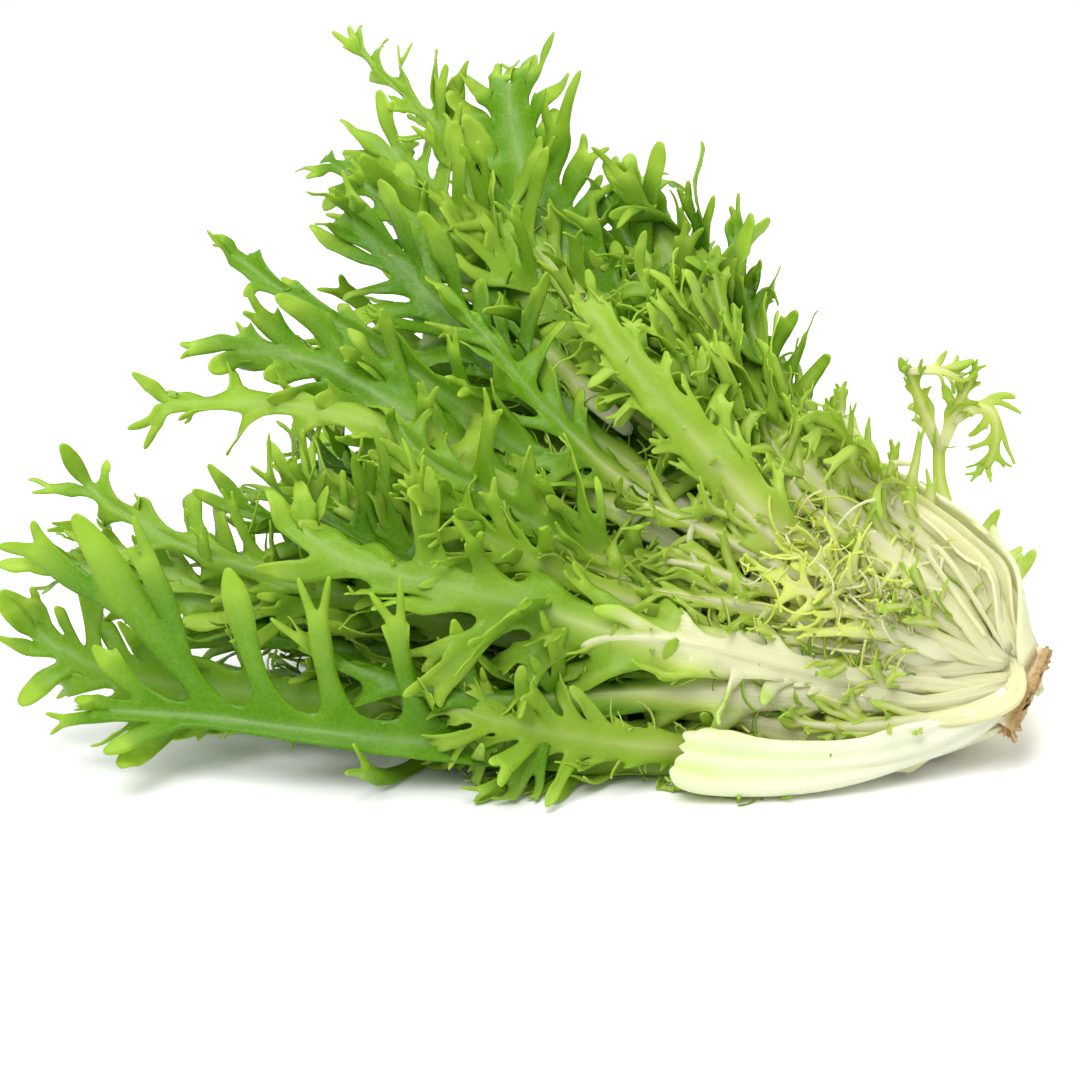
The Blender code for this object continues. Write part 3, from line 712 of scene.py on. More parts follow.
def grown(name, mesh, group, inputs):
    """A finished piece: the mesh with a Geometry Nodes tree applied, and nothing of it below the floor."""
    made = put(name + "_start", mesh)
    modifier = made.modifiers.new("shape", "NODES")
    modifier.node_group = group
    for item in group.interface.items_tree:
        if item.in_out == "INPUT" and item.name in inputs:
            modifier[item.identifier] = inputs[item.name]
    bpy.context.view_layer.update()
    done = bpy.data.meshes.new_from_object(made.evaluated_get(bpy.context.evaluated_depsgraph_get()))
    made.modifiers.remove(modifier)
    bpy.data.objects.remove(made)
    points = np.empty(len(done.vertices) * 3)
    done.vertices.foreach_get("co", points)
    points[2::3] = -soft_least(-points[2::3], -LOWEST, LOWEST)
    done.vertices.foreach_set("co", points)
    done.name = name
    return put(name, done)


def settle(piece, slot, *nodes):
    """The piece rides on the part's one body, and stands for those nodes of the solids."""
    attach(piece, "root")
    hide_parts(*nodes)


def finish(name, bunch, body, material, shape, seed, slot, node):
    """The leaves of a bunch, grown into a piece of that shape."""
    settings = dict(zip(BODY_INPUTS, shape), Smoothing=1, Seed=seed, Material=material)
    settle(grown(name, bunch.mesh(name), body, settings), slot, node)


def add_fringe(name, bunch, threads, material, length, node, slot, green=0.40):
    """The threads on a bunch's seats, as a piece."""
    settings = dict(zip(THREAD_INPUTS, (length, *FRINGE_SHAPE)), Seed=3, Material=material)
    settle(grown(name + "_threads", bunch.seat_mesh(name, green, 0.2), threads, settings), slot, node)


def new_material(name):
    """A material with its Tree, its shader and the socket of the place on the object."""
    material = bpy.data.materials.new(name)
    material.use_nodes = True
    tree = Tree(material.node_tree)
    shader = material.node_tree.nodes["Principled BSDF"]
    return material, tree, shader, tree.add("ShaderNodeTexCoord", output="Object")


def leaf_material(name, colours, gloss, through, specked=False):
    """A living leaf: white base, young green, full green, pale ribs, light tips, fine veins, a wet gloss."""
    white, young, green, deep, tip = colours
    material, tree, shader, place = new_material(name)
    patches, grain = tree.noise(place, 45.0, 2.0), tree.noise(place, 420.0, 2.0)
    greenness, tone = tree.attribute("green"), tree.attribute("tone")
    mottled = tree.plus(greenness, tree.times(tree.minus(patches, 0.5), 0.35), clamp=True)
    leafy, full = tree.ramp(mottled, 0.12, 0.55), tree.ramp(mottled, 0.45, 1.0)
    shade = tree.times(tone, tree.plus(patches, 0.30), clamp=True)
    colour = tree.blend(leafy, white, young)
    colour = tree.blend(full, colour, tree.blend(shade, green, deep))
    light = tree.times(tree.times(tone, -0.75, clamp=True), full)
    colour = tree.blend(light, colour, tip)
    colour = tree.blend(tree.times(tree.power(tree.attribute("finger"), 3.0), 0.75), colour, tip)
    fading = tree.minus(0.85, tree.times(greenness, 0.70))
    colour = tree.blend(tree.times(tree.power(tree.attribute("rib"), 3.0), fading), colour, white)
    stripes = tree.math("SINE", tree.times(tree.attribute("aside"), 2 * math.pi / STRIPE_PITCH))
    striped = tree.times(tree.minus(0.08, tree.times(greenness, 0.08)), stripes, clamp=True)
    colour = tree.blend(striped, colour, young)
    veins = tree.ramp(tree.cells(place, 430.0, "DISTANCE_TO_EDGE"), 0.0, 0.10, 0.14, 0.0)
    colour = tree.blend(tree.times(veins, greenness), colour, young)
    if specked:
        specks = tree.ramp(tree.cells(place, 95.0), 0.05, 0.09, 1.0, 0.0)
        rare = tree.math("GREATER_THAN", patches, 0.60)
        colour = tree.blend(tree.times(specks, rare), colour, SPECK_COLOUR)
    colour = tree.blend(tree.ramp(tree.attribute("base"), 0.0005, 0.0030, 0.8, 0.0), colour, SCAR_COLOUR)
    ribbed = tree.times(stripes, tree.minus(0.12, tree.times(greenness, 0.10)))
    relief = tree.plus(tree.times(grain, 0.5), tree.plus(ribbed, tree.times(patches, 3.0)))
    bump = tree.bump(relief, 0.5, 0.0005)
    tree.fill(shader, {
        "Base Color": colour, "Normal": bump,
        "Roughness": tree.ramp(grain, 0.3, 0.7, gloss - 0.08, gloss + 0.12),
        "Specular IOR Level": 0.20, "Subsurface Weight": 0.0, "Coat Weight": 0.10, "Coat Roughness": 0.18,
    })
    glow = tree.add("ShaderNodeBsdfTranslucent", {"Color": colour, "Normal": bump})
    mixed = tree.add("ShaderNodeMixShader", {0: through, 1: shader.outputs[0], 2: glow})
    tree.fill(material.node_tree.nodes["Material Output"], {"Surface": mixed})
    return material


def stem_material():
    """The stem: cream flesh, and a brown, dried butt."""
    material, tree, shader, place = new_material("stem_flesh_skin")
    patches = tree.noise(place, 160.0, 4.0)
    ragged = tree.plus(tree.attribute("height"), tree.times(tree.minus(patches, 0.5), 0.004))
    bark = tree.blend(patches, (0.20, 0.10, 0.025), (0.60, 0.42, 0.17))
    flesh = tree.blend(patches, (0.86, 0.80, 0.52), (0.90, 0.88, 0.70))
    colour = tree.blend(tree.ramp(ragged, 0.0020, 0.0060), bark, flesh)
    bump = tree.bump(tree.plus(patches, tree.cells(place, 600.0)), 0.6, 0.0012)
    tree.fill(shader, {"Base Color": colour, "Roughness": 0.55, "Normal": bump})
    return material


def bark_material():
    """Dried brown fibres of the butt."""
    material, tree, shader, place = new_material("butt_fibre")
    patches = tree.noise(place, 260.0, 3.0)
    colour = tree.blend(patches, (0.24, 0.12, 0.035), (0.62, 0.44, 0.19))
    tree.fill(shader, {"Base Color": colour, "Roughness": 0.5, "Normal": tree.bump(patches, 0.5, 0.0006)})
    return material


# The first number of each group of leaves for its random draws.
OUTER_SEED, INNER_SEED, CUT_SEED, HEART_SEED, RIBBON_SEED, FOLDED_SEED = 300, 400, 460, 500, 560, 590
FRONT_SEED, LIGHT_SEED, STRIP_SEED = 700, 760, 860
HAND_SEED, BACK_SEED, TRIMMED_SEED, STEM_SEED = 801, 802, 803, 804

# The outermost leaves: azimuth in degrees, shell, height of the tip, sway in degrees, reach of the fingers.
OUTERMOST_FROM = 0.9
OUTER_LEAVES = (
    (-33, 1.00, 0.262, 0, 0.040),
    (25, 1.00, 0.262, 0, 0.040),
    (80, 0.94, 0.204, 6, 0.024),
    (-62, 0.88, 0.280, -8, 0.040),
    (-4, 0.88, 0.276, 0, 0.040),
    (52, 0.88, 0.254, 6, 0.027),
)

# Leaves whose stalks the cut face shows broadside: azimuth in degrees, shell, height of the tip, and turn.
CUT_LEAVES = (
    (91, 0.80, 0.128, 50),
    (96, 0.68, 0.150, 66),
    (92, 0.56, 0.174, 60),
    (98, 0.44, 0.186, 72),
    (94, 0.32, 0.180, 62),
    (99, 0.20, 0.140, 74),
    (-90, 0.82, 0.190, 50),
    (-94, 0.68, 0.208, 66),
    (-91, 0.54, 0.215, 58),
    (-97, 0.40, 0.200, 70),
    (-93, 0.28, 0.165, 62),
)

# The heart: the first number of the leaves spilled over the cut face, the folded margin at its foot, and
# the pale ribbons that curl out of it: start, heading, sweep in degrees, and length. Places and lengths are
# in millimetres in the head's frame.
SPILLED_FROM = 50
RIBBON_WIDTH, RIBBON_STEP = 0.0022, 0.0035
FOLDED_MARGIN = ((14, 8, 3), (28, 17, 7), (41, 25, 9), (50, 29, 9), (50, 25, 10), (38, 17, 11), (22, 8, 8))
RIBBONS = (
    ((92, 30, 2), 10, 150, 42),
    ((108, 22, 6), -20, 170, 40),
    ((100, 12, 8), 20, -160, 36),
    ((84, 4, 8), -30, 140, 30),
    ((76, 14, 8), 60, -170, 30),
    ((118, 4, 10), 30, 160, 38),
    ((70, -4, 8), 20, 150, 28),
    ((60, 20, 6), 40, -150, 26),
    ((96, -10, 10), -10, -150, 34),
    ((64, 32, 4), 20, 140, 30),
    ((50, 12, 6), 10, -170, 24),
    ((110, -16, 12), 15, 150, 34),
)

# Leaves that lie over the cut face or stand out of the head. For each: the rib's knots in the head's frame
# in millimetres (height, across, in front), the blade's turns along it in degrees, its habit, and the
# distances in metres along the rib where it stops being white and is all green.
FRONT_LEAVES = (
    (((120, 32, -14), (160, 50, -16), (195, 66, -16), (221, 83, -16), (241, 102, -16), (255, 121, -18),
     (261, 133, -19)), (0, 10, 0), PEAK, 0.00, 0.05),
    (((110, 25, -12), (150, 42, -12), (189, 60, -14), (226, 71, -14), (253, 88, -14), (273, 105, -16),
     (280, 116, -18)), (20, 0, -20), BROAD._replace(reach=0.024), 0.00, 0.05),
    (((140, 30, -10), (199, 49, -10), (238, 65, -12), (266, 77, -13), (284, 86, -14), (294, 90, -14)),
     (0, 30, 10), BROAD._replace(reach=0.024), 0.00, 0.05),
    (((180, 52, -10), (207, 67, -12), (240, 85, -14), (272, 100, -14), (289, 107, -14), (307, 113, -14),
     (316, 118, -14)), (0, 20, 40), SLIM._replace(reach=0.012, width=0.0045, blade_half=0.0022, fingers=5),
     0.00, 0.05),
    (((60, 22, -6), (105, 45, -8), (135, 64, -10), (161, 80, -12), (184, 98, -13), (197, 112, -14),
     (204, 122, -16)), (10, 0, 20), BROAD._replace(reach=0.020), 0.04, 0.13),
    (((110, 38, -10), (150, 58, -12), (180, 80, -14), (200, 96, -14), (214, 108, -15)), (-20, 10, 30),
     SLIM._replace(reach=0.020, width=0.0070), 0.00, 0.05),
    (((50, 25, -6), (87, 41, -8), (108, 54, -10), (127, 68, -10), (141, 80, -10), (148, 91, -12),
     (146, 99, -14)), (0, -20, 0), SLIM._replace(reach=0.010), 0.04, 0.12),
    (((60, 30, -8), (90, 42, -12), (115, 60, -12), (137, 78, -12), (153, 95, -12), (163, 114, -16)),
     (30, 0, -10), SLIM._replace(reach=0.014), 0.04, 0.12),
    (((160, 25, -6), (210, 42, -4), (258, 59, -4), (281, 66, -5), (297, 69, -6), (304, 68, -6)),
     (0, -35, 20), SLIM._replace(reach=0.014, fingers=5, width=0.0050), 0.00, 0.05),
    (((120, 5, 0), (170, 15, 4), (208, 24, 4), (241, 36, 5), (262, 44, 5), (277, 49, 4), (288, 54, 4)),
     (-40, 0, 30), BROAD._replace(reach=0.022), 0.00, 0.05),
    (((120, -8, 4), (189, -1, 8), (225, 6, 12), (252, 10, 13), (272, 12, 13), (289, 14, 12), (303, 17, 11),
     (314, 19, 9)), (0, 30, 0), SLIM._replace(reach=0.012, fingers=6, blade_half=0.0050), 0.00, 0.05),
    (((110, -22, 4), (164, -20, 12), (216, -10, 16), (256, -6, 18), (282, -12, 18), (296, -19, 16)),
     (0, -20, 25), BROAD._replace(reach=0.022), 0.00, 0.05),
    (((120, -36, 2), (160, -42, 8), (200, -44, 12), (235, -46, 14), (258, -48, 14)), (-30, 10, 40), SLIM,
     0.00, 0.05),
    (((110, -36, 4), (152, -43, 10), (205, -55, 14), (239, -61, 16), (257, -63, 16), (270, -61, 14)),
     (0, 10, 0), SLIM, 0.00, 0.05),
    (((28, -12, 4), (53, -21, 7), (84, -33, 14), (108, -43, 20), (134, -50, 25), (157, -54, 29),
     (186, -61, 32), (220, -67, 34), (244, -62, 32)), (15, 0, -15),
     BROAD._replace(blade_half=0.0092, reach=0.024, fingers=7), 0.06, 0.13),
    (((28, -20, 4), (68, -37, 8), (114, -61, 14), (141, -77, 18), (168, -90, 22), (197, -96, 24),
     (214, -96, 25)), (35, -10, -30), SLIM._replace(blade_half=0.0060), 0.06, 0.12),
    (((70, -8, -6), (107, -14, 0), (146, -25, 10), (184, -23, 18), (214, -21, 22), (234, -11, 24)),
     (0, 30, -10), SLIM._replace(blade_half=0.0060), 0.04, 0.10),
    (((80, 4, -6), (115, 3, -2), (154, 5, 6), (189, 16, 12), (218, 29, 16), (234, 33, 16)), (0, -20, 10),
     SLIM, 0.04, 0.10),
    (((16, -9, 2), (30, -15, 3), (51, -24, 8), (74, -31, 14), (96, -37, 18), (118, -45, 22), (133, -53, 24),
     (138, -62, 24)), (50, 30, 0), LONG_STALK, 0.11, 0.17),
    (((70, -60, -8), (93, -76, -2), (118, -86, -2), (141, -97, -2), (156, -106, 0)), (40, 10, 0),
     SLIM._replace(reach=0.020), 0.00, 0.04),
    (((120, -50, 4), (164, -62, 10), (197, -70, 14), (231, -77, 16), (262, -82, 18), (286, -82, 18),
     (304, -80, 18), (319, -78, 16)), (0, 20, 0),
     SLIM._replace(reach=0.020, width=0.0055, bend=(-0.2, 0.8)), 0.00, 0.05),
    (((150, -82, -2), (206, -105, 2), (234, -116, 4), (259, -125, 5), (279, -130, 6), (298, -129, 6),
     (314, -124, 6)), (0, 30, 0), BROAD._replace(reach=0.020), 0.00, 0.05),
    (((160, -76, -4), (216, -87, 0), (244, -91, 3), (268, -96, 5), (291, -101, 6), (316, -106, 6)),
     (0, 25, -10), BROAD._replace(reach=0.022), 0.00, 0.05),
    (((150, -66, -4), (200, -76, 2), (234, -84, 6), (262, -90, 8), (290, -92, 8), (309, -90, 8)),
     (0, -25, 10), SLIM._replace(reach=0.018), 0.00, 0.05),
)

# Light yellow-green ones among them.
LIGHT_LEAVES = (
    (((58, -6, -4), (74, -1, 6), (92, 5, 15), (112, 13, 23), (132, 21, 28), (155, 31, 31), (173, 40, 31),
     (190, 51, 28)), (10, 25, 5), SMOOTH, 0.01, 0.09),
    (((14, 2, 2), (24, 8, 6), (40, 15, 9), (60, 19, 10), (83, 28, 10), (103, 37, 10), (122, 47, 9),
     (138, 63, 6), (154, 81, 2), (163, 94, -2)), (-35, -10, 10),
     SMOOTH._replace(stalk_half=0.0052, blade_half=0.0050), 0.05, 0.16),
    (((110, -26, 6), (150, -22, 12), (188, -19, 16), (218, -18, 18), (243, -19, 20), (268, -26, 20),
     (288, -36, 20), (304, -43, 18)), (20, 0, -20), SLIM._replace(reach=0.012, blade_half=0.0062), 0.00,
     0.05),
    (((70, -55, -3), (89, -67, 6), (105, -76, 13), (129, -85, 18), (154, -92, 21), (174, -94, 22)),
     (50, 20, -10), SLIM._replace(blade_half=0.0062, reach=0.014), -0.02, 0.05),
    (((37, -55, -8), (53, -69, -1), (70, -80, 4), (84, -85, 4), (96, -85, 3)), (60, 50, 30), LOW_STALK,
     -0.04, 0.06),
    (((100, -30, 8), (140, -36, 18), (172, -38, 24), (198, -34, 26), (220, -26, 26)), (-20, 20, 40),
     SLIM._replace(reach=0.020, width=0.0050), 0.00, 0.05),
    (((96, 18, 8), (122, 30, 16), (146, 46, 20), (166, 62, 18), (182, 76, 12)), (20, -10, -30),
     SLIM._replace(reach=0.016, width=0.0048), 0.00, 0.05),
)

# Pale stalks that the cut face shows broadside, and yellow-green ones between them: knots as above, the turn
# in degrees, half the stalk's width in millimetres, and where along the rib green begins, in metres.
FACE_STRIPS = (
    (((7, 12, -2), (17, 22, -1), (29, 29, 0), (43, 35, 0), (57, 40, 0), (74, 47, -2), (89, 56, -4),
     (103, 65, -6)), 15, 4.8, 0.11),
    (((9, 9, 0), (21, 17, 2), (34, 23, 3), (48, 28, 4), (62, 33, 4), (77, 37, 4), (91, 43, 3),
     (106, 51, 2)), -10, 4.2, 0.10),
    (((12, 5, 2), (27, 8, 4), (42, 14, 6), (58, 18, 8), (71, 23, 9), (85, 26, 9), (101, 32, 9),
     (115, 38, 8)), 10, 4.0, 0.10),
    (((14, 2, 2), (31, 4, 5), (45, 7, 8), (59, 9, 10), (72, 11, 11), (86, 13, 11), (101, 18, 10)), -20, 3.0,
     0.08),
    (((12, 3, 2), (23, -3, 3), (34, -10, 5), (47, -14, 8), (61, -17, 10), (76, -20, 12), (91, -20, 12)), 10,
     3.2, 0.08),
    (((9, 0, 2), (21, -9, 3), (33, -15, 4), (44, -18, 6), (57, -20, 7), (69, -24, 7), (80, -27, 6)), -15,
     3.4, 0.08),
    (((7, -2, 1), (16, -11, 3), (25, -18, 4), (37, -25, 5), (49, -30, 5), (63, -35, 5), (76, -39, 4)), 20,
     3.6, 0.09),
    (((9, 6, 1), (5, 0, 3), (6, -8, 4), (14, -17, 5), (23, -24, 6), (34, -31, 7), (45, -38, 7),
     (59, -44, 7), (70, -47, 6)), -10, 4.2, 0.11),
    (((12, 4, 2), (21, 1, 5), (33, 0, 8), (46, 0, 10), (56, -1, 11), (65, -3, 12)), 15, 3.2, 0.07),
    (((13, 5, 2), (23, 5, 5), (35, 6, 8), (47, 8, 10), (56, 7, 11), (65, 5, 12)), -15, 3.0, 0.07),
    (((64, -4, 9), (83, -3, 13), (98, -2, 15), (115, -2, 16), (131, -2, 16), (146, -3, 14)), 40, 2.6, 0.05),
    (((59, -8, 9), (78, -9, 13), (97, -12, 15), (114, -14, 16), (131, -18, 15)), -40, 2.6, 0.05),
    (((68, 1, 10), (85, 3, 14), (100, 6, 18), (114, 10, 20), (129, 16, 20)), 30, 2.6, 0.05),
    (((55, -11, 9), (70, -14, 12), (87, -17, 14), (103, -22, 16), (120, -27, 16), (135, -32, 15)), 20, 2.6,
     0.05),
    (((49, -13, 8), (65, -18, 11), (81, -24, 13), (96, -31, 15), (111, -39, 16), (124, -47, 16)), -30, 2.6,
     0.05),
    (((65, 12, 8), (79, 16, 10), (93, 22, 11), (106, 31, 11), (118, 42, 10)), -30, 2.6, 0.05),
)

# The hand-shaped leaf: its knots as above, and its fingers as lay_leaf takes them.
HAND_KNOTS = (
    (6, -12, -8), (30, -28, -14), (60, -46, -16), (89, -66, -10), (118, -82, 2), (165, -105, 14),
    (205, -121, 19), (235, -131, 20), (258, -140, 18), (274, -146, 16),
)
HAND_FINGERS = (
    (1, 1, 0.95, 0.028, 0.0065, 0.30, 0.3),
    (5, 1, 1.00, 0.030, 0.0065, 0.20, -0.2),
    (8, 1, 1.00, 0.030, 0.0065, 0.30, 0.2),
    (12, 1, 1.05, 0.030, 0.0070, 0.25, 0.2),
    (15, 1, 0.95, 0.036, 0.0080, 0.30, 0.1),
    (18, 1, 0.82, 0.056, 0.0110, 0.08, 0.1),
    (21, 1, 0.50, 0.020, 0.0065, 0.20, 0.1),
    (20, -1, 0.45, 0.016, 0.0060, 0.30, 0.3),
)

# The bent leaf: its rib as steps from the stem in metres, and its fingers. Its twigs: steps from the stem
# in millimetres, and the turns of their blades in degrees.
BACK_STEPS = (
    (0.0040, 0.0140, -0.0060), (0.0020, 0.0334, -0.0060), (0.0000, 0.0660, -0.0100),
    (-0.0030, 0.1000, 0.0020), (-0.0120, 0.1200, 0.0150), (-0.0170, 0.1260, 0.0300),
    (-0.0175, 0.1280, 0.0440),
)
BACK_FINGERS = (
    (1, 1, 0.90, 0.012, 0.0055, 0.6, 0.9),
    (4, 1, 0.80, 0.014, 0.0055, 0.7, -0.8),
    (7, 1, 0.80, 0.011, 0.0050, 0.8, 0.9),
    (9, -1, 0.90, 0.010, 0.0040, 0.5, 0.3),
    (13, -1, 0.70, 0.008, 0.0035, 0.4, 0.2),
)
BACK_BRANCHES = (
    (((-17, 128, 40), (-23, 129, 54), (-27, 128, 64), (-31, 127, 73)), (0, 20)),
    (((-17, 128, 40), (-13, 129, 52), (-9, 129, 63), (-5, 129, 70)), (0, -20)),
    (((-30, 127, 71), (-20, 128, 71), (-9, 129, 67)), (30, 30)),
    (((-13, 129, 51), (-6, 130, 56), (1, 129, 55), (3, 128, 44), (-1, 127, 32)), (0, 30)),
)

# The near side and the rim of the trimmed leaf, as knots above. Then half its width, its ragged end, its
# ridges and the waves of its rim, in metres.
TRIMMED_NEAR = (
    (4, -7, -3), (9, -17, -4), (14, -25, -4), (24, -36, -2), (41, -55, 4), (59, -69, 8), (82, -81, 12),
    (93, -82, 14),
)
TRIMMED_MID = (
    (6, -6, 1), (11, -15, 2), (21, -30, 4), (38, -47, 8), (59, -61, 12), (78, -70, 16), (96, -76, 18),
)
TRIMMED_RIM = (
    (8, -4, 2), (12, -13, 4), (24, -24, 7), (41, -41, 11), (62, -54, 15), (83, -62, 19), (96, -67, 21),
)
TRIMMED_HALF, TRIMMED_RAGGED, RIDGE_HEIGHT, RIM_WAVE = 0.022, 0.007, 0.0007, 0.0022
TRIMMED_COLUMNS, TRIMMED_ROWS = 25, 30

# The butt of the stem: how high up it is rough, how rough, how far it swells, and how many fibres fray.
BUTT_HEIGHT, BUTT_ROUGHNESS, BUTT_SWELL, SHREDS = 0.005, 0.0005, 0.0010, 56

# Threads and fibres: length, width, sweep in radians, and wildness. A thread's length comes with its piece.
THREAD_INPUTS = ("Length", "Width", "Sweep", "Wildness")
FRINGE_SHAPE, SHRED_SHAPE = (0.0009, 1.4, 0.5), (0.0034, 0.0014, 1.2, 0.6)

# Each leaf material: its name, its colours (white base, young, green, deep green and tips), how rough it is,
# and how much light it lets through. Then the browns of specks and scars.
SKINS = (
    ("green_leaf_skin", (
        (0.89, 0.90, 0.62), (0.50, 0.70, 0.07), (0.125, 0.335, 0.004), (0.035, 0.17, 0.001),
        (0.46, 0.70, 0.055),
    ), 0.28, 0.36),
    ("pale_leaf_skin", (
        (0.90, 0.89, 0.62), (0.60, 0.74, 0.12), (0.155, 0.375, 0.006), (0.04, 0.19, 0.001),
        (0.51, 0.72, 0.075),
    ), 0.28, 0.42),
    ("heart_leaf_skin", (
        (0.92, 0.92, 0.70), (0.86, 0.90, 0.26), (0.66, 0.82, 0.12), (0.50, 0.72, 0.06), (0.84, 0.90, 0.22),
    ), 0.34, 0.50),
    ("white_leaf_skin", (
        (0.90, 0.91, 0.74), (0.74, 0.84, 0.36), (0.40, 0.64, 0.08), (0.22, 0.46, 0.03), (0.60, 0.76, 0.16),
    ), 0.30, 0.30),
    ("bent_leaf_skin", (
        (0.90, 0.885, 0.60), (0.68, 0.77, 0.16), (0.36, 0.58, 0.035), (0.20, 0.42, 0.012),
        (0.52, 0.72, 0.10),
    ), 0.28, 0.48),
)
SPECK_COLOUR, SCAR_COLOUR = (0.30, 0.17, 0.05), (0.55, 0.36, 0.14)

# The light, and the camera at the photograph's viewing angle.
LIGHTS = (
    ("key_light", (-0.35, -0.75, 1.25), 0.9, 16.0),
    ("top_light", (0.25, 0.35, 1.40), 1.0, 12.0),
)
LIGHT_AIM, WORLD_STRENGTH = Vector((0.0, 0.0, 0.06)), 0.75
CAMERA_AIM, CAMERA_DISTANCE = Vector((0.0103, -0.0316, 0.0615)), 1.1
CAMERA_LENS, CAMERA_ELEVATION = 107.9, math.radians(20)


def make_outer_leaves(body, material):
    for place, (degrees, shell, tip, sway, reach) in enumerate(OUTER_LEAVES):
        draw = np.random.default_rng(OUTER_SEED + place)
        outermost = shell > OUTERMOST_FROM
        curl = 0.010 * float(ease((degrees + 10) / 80)) if outermost else 0.0
        leaf = ShellLeaf(
            shell, math.radians(degrees), tip, draw,
            sway=math.radians(sway), curl=curl, roll=0.0, frill=0.0003,
        )
        habit = OUTER._replace(reach=reach, stalk_half=0.0115 if degrees > 60 else OUTER.stalk_half)
        sheet = lay_leaf(leaf.length, habit, draw)
        bunch = Bunch()
        bunch.add(leaf, sheet, 0.06, 0.16, tone=draw.uniform(0.5, 1.0), scarred=outermost)
        node = f"outer_leaf_{place + 2:02d}"
        finish(node + "_frilled", bunch, body, material, OUTER_BODY, float(place), "green_leaf", node)


def whorl(count, shells, start, reach):
    """(shell, azimuth, number) of leaves placed by the golden angle, from the outside in."""
    found = []
    for k in range(count):
        azimuth = (start + k * GOLDEN_ANGLE + math.pi) % (2 * math.pi) - math.pi
        if abs(azimuth) < reach:
            found.append((shells[0] + (shells[1] - shells[0]) * k / (count - 1), azimuth, k))
    return found


def make_cut_leaves(body, material):
    """The leaves whose stalks the cut face shows broadside."""
    bunch = Bunch()
    for number, (degrees, shell, tip, turn) in enumerate(CUT_LEAVES):
        draw = np.random.default_rng(CUT_SEED + number)
        leaf = ShellLeaf(
            shell, math.radians(degrees), tip, draw, roll=math.radians(turn),
            twist=-math.radians(draw.uniform(0, 45)), sway=math.radians(draw.uniform(-4, 8)),
            lift=0.018 * (1 - shell),
        )
        add_leaf(bunch, leaf, CUT, 0.050, 0.150, draw, tones=(-0.6, 0.6), per_step=0)
    finish("cut_leaves", bunch, body, material, INNER_BODY, 60.0, "pale_leaf", "inner_leaves")


def make_inner_leaves(body, threads, material, thread_material):
    """The green and pale leaves inside the outer ones, in three bunches, with threads along their stalks."""
    bunches = [Bunch(), Bunch(), Bunch()]
    for shell, azimuth, number in whorl(60, (0.80, 0.34), math.radians(15), math.radians(88)):
        draw = np.random.default_rng(INNER_SEED + number)
        near_cut = float(ease((abs(azimuth) - 0.5) / 0.9))
        upper = float(ease((azimuth - 0.5) / 0.9))
        tip = 0.272 + 0.014 * math.sin(number * 2.4) - 0.112 * upper
        leaf = ShellLeaf(
            shell, azimuth, tip, draw, lift=0.034 * (1 - shell), wave=0.006,
            twist=math.copysign(math.radians(draw.uniform(20, 70)), azimuth) * near_cut,
            sway=math.copysign(math.radians(10), azimuth) * near_cut,
        )
        habit = INNER._replace(reach=INNER.reach * (1 - 0.35 * upper))
        tones = (-0.5 - 0.5 * upper, 1.0 - 1.2 * upper)
        add_leaf(bunches[number % 3], leaf, habit, 0.055, 0.15, draw, tones=tones, per_step=1)
    for place, bunch in enumerate(bunches):
        name = f"inner_leaves_{place + 1}"
        finish(name, bunch, body, material, INNER_BODY, 10.0 + place, "pale_leaf", "inner_leaves")
        add_fringe(name, bunch, threads, thread_material, 0.008, "inner_leaves", "pale_leaf")


def add_leaf(bunch, leaf, habit, pale_to, green_from, draw, tones, per_step):
    """Lays a leaf out, puts it in its place in the bunch, and seats threads along its stalk."""
    sheet = lay_leaf(leaf.length, habit, draw)
    placed = bunch.add(leaf, sheet, pale_to, green_from, tone=draw.uniform(*tones), margin=0.28)
    bunch.fringe(placed, sheet, per_step, draw)


def make_heart(body, threads, material):
    """The small yellow leaves at the head's heart, with threads along their ribs, and curling ribbons."""
    bunch = Bunch()
    behind = whorl(30, (0.34, 0.06), math.radians(60), math.radians(105))
    spilled = whorl(26, (0.42, 0.08), 0.4, math.radians(85))
    behind += [(shell, azimuth + math.pi, SPILLED_FROM + k) for shell, azimuth, k in spilled]
    for shell, azimuth, number in behind:
        draw = np.random.default_rng(HEART_SEED + number)
        front = number >= SPILLED_FROM
        tip = (0.050 + 0.13 * shell + draw.uniform(-0.010, 0.015)) if front else (0.060 + 0.16 * shell)
        leaf = ShellLeaf(shell, azimuth, tip, draw, lift=0.004 if front else 0.012, wave=0.004)
        sheet = lay_leaf(leaf.length, HEART, draw)
        placed = bunch.add(leaf, sheet, 0.02, 0.12, tone=draw.uniform(0.0, 0.4))
        bunch.fringe(placed, sheet, 4, draw)
        bunch.fringe_blade(placed, sheet, 24, draw)
    for number, (start, heading, sweep, length) in enumerate(RIBBONS):
        draw = np.random.default_rng(RIBBON_SEED + number)
        path = curl_path(np.array(start), math.radians(heading), math.radians(sweep), length)
        leaf = PathLeaf(in_head(path), (60, 0, -50), draw, wave=0.0)
        ribbon = ribbon_sheet(leaf.length, RIBBON_WIDTH * draw.uniform(0.7, 1.2))
        bunch.add(leaf, ribbon, 0.00, 0.12, tone=0.2)
    draw = np.random.default_rng(FOLDED_SEED)
    folded = PathLeaf(in_head(FOLDED_MARGIN), (30, -20, 30), draw, wave=0.0)
    bunch.add(folded, ribbon_sheet(folded.length, 0.6 * RIBBON_WIDTH), 0.10, 0.40, tone=0.0)
    finish("heart_frills", bunch, body, material, HEART_BODY, 20.0, "heart_leaf", "heart_leaves")
    add_fringe("heart_frills", bunch, threads, material, 0.013, "heart_leaves", "heart_leaf")


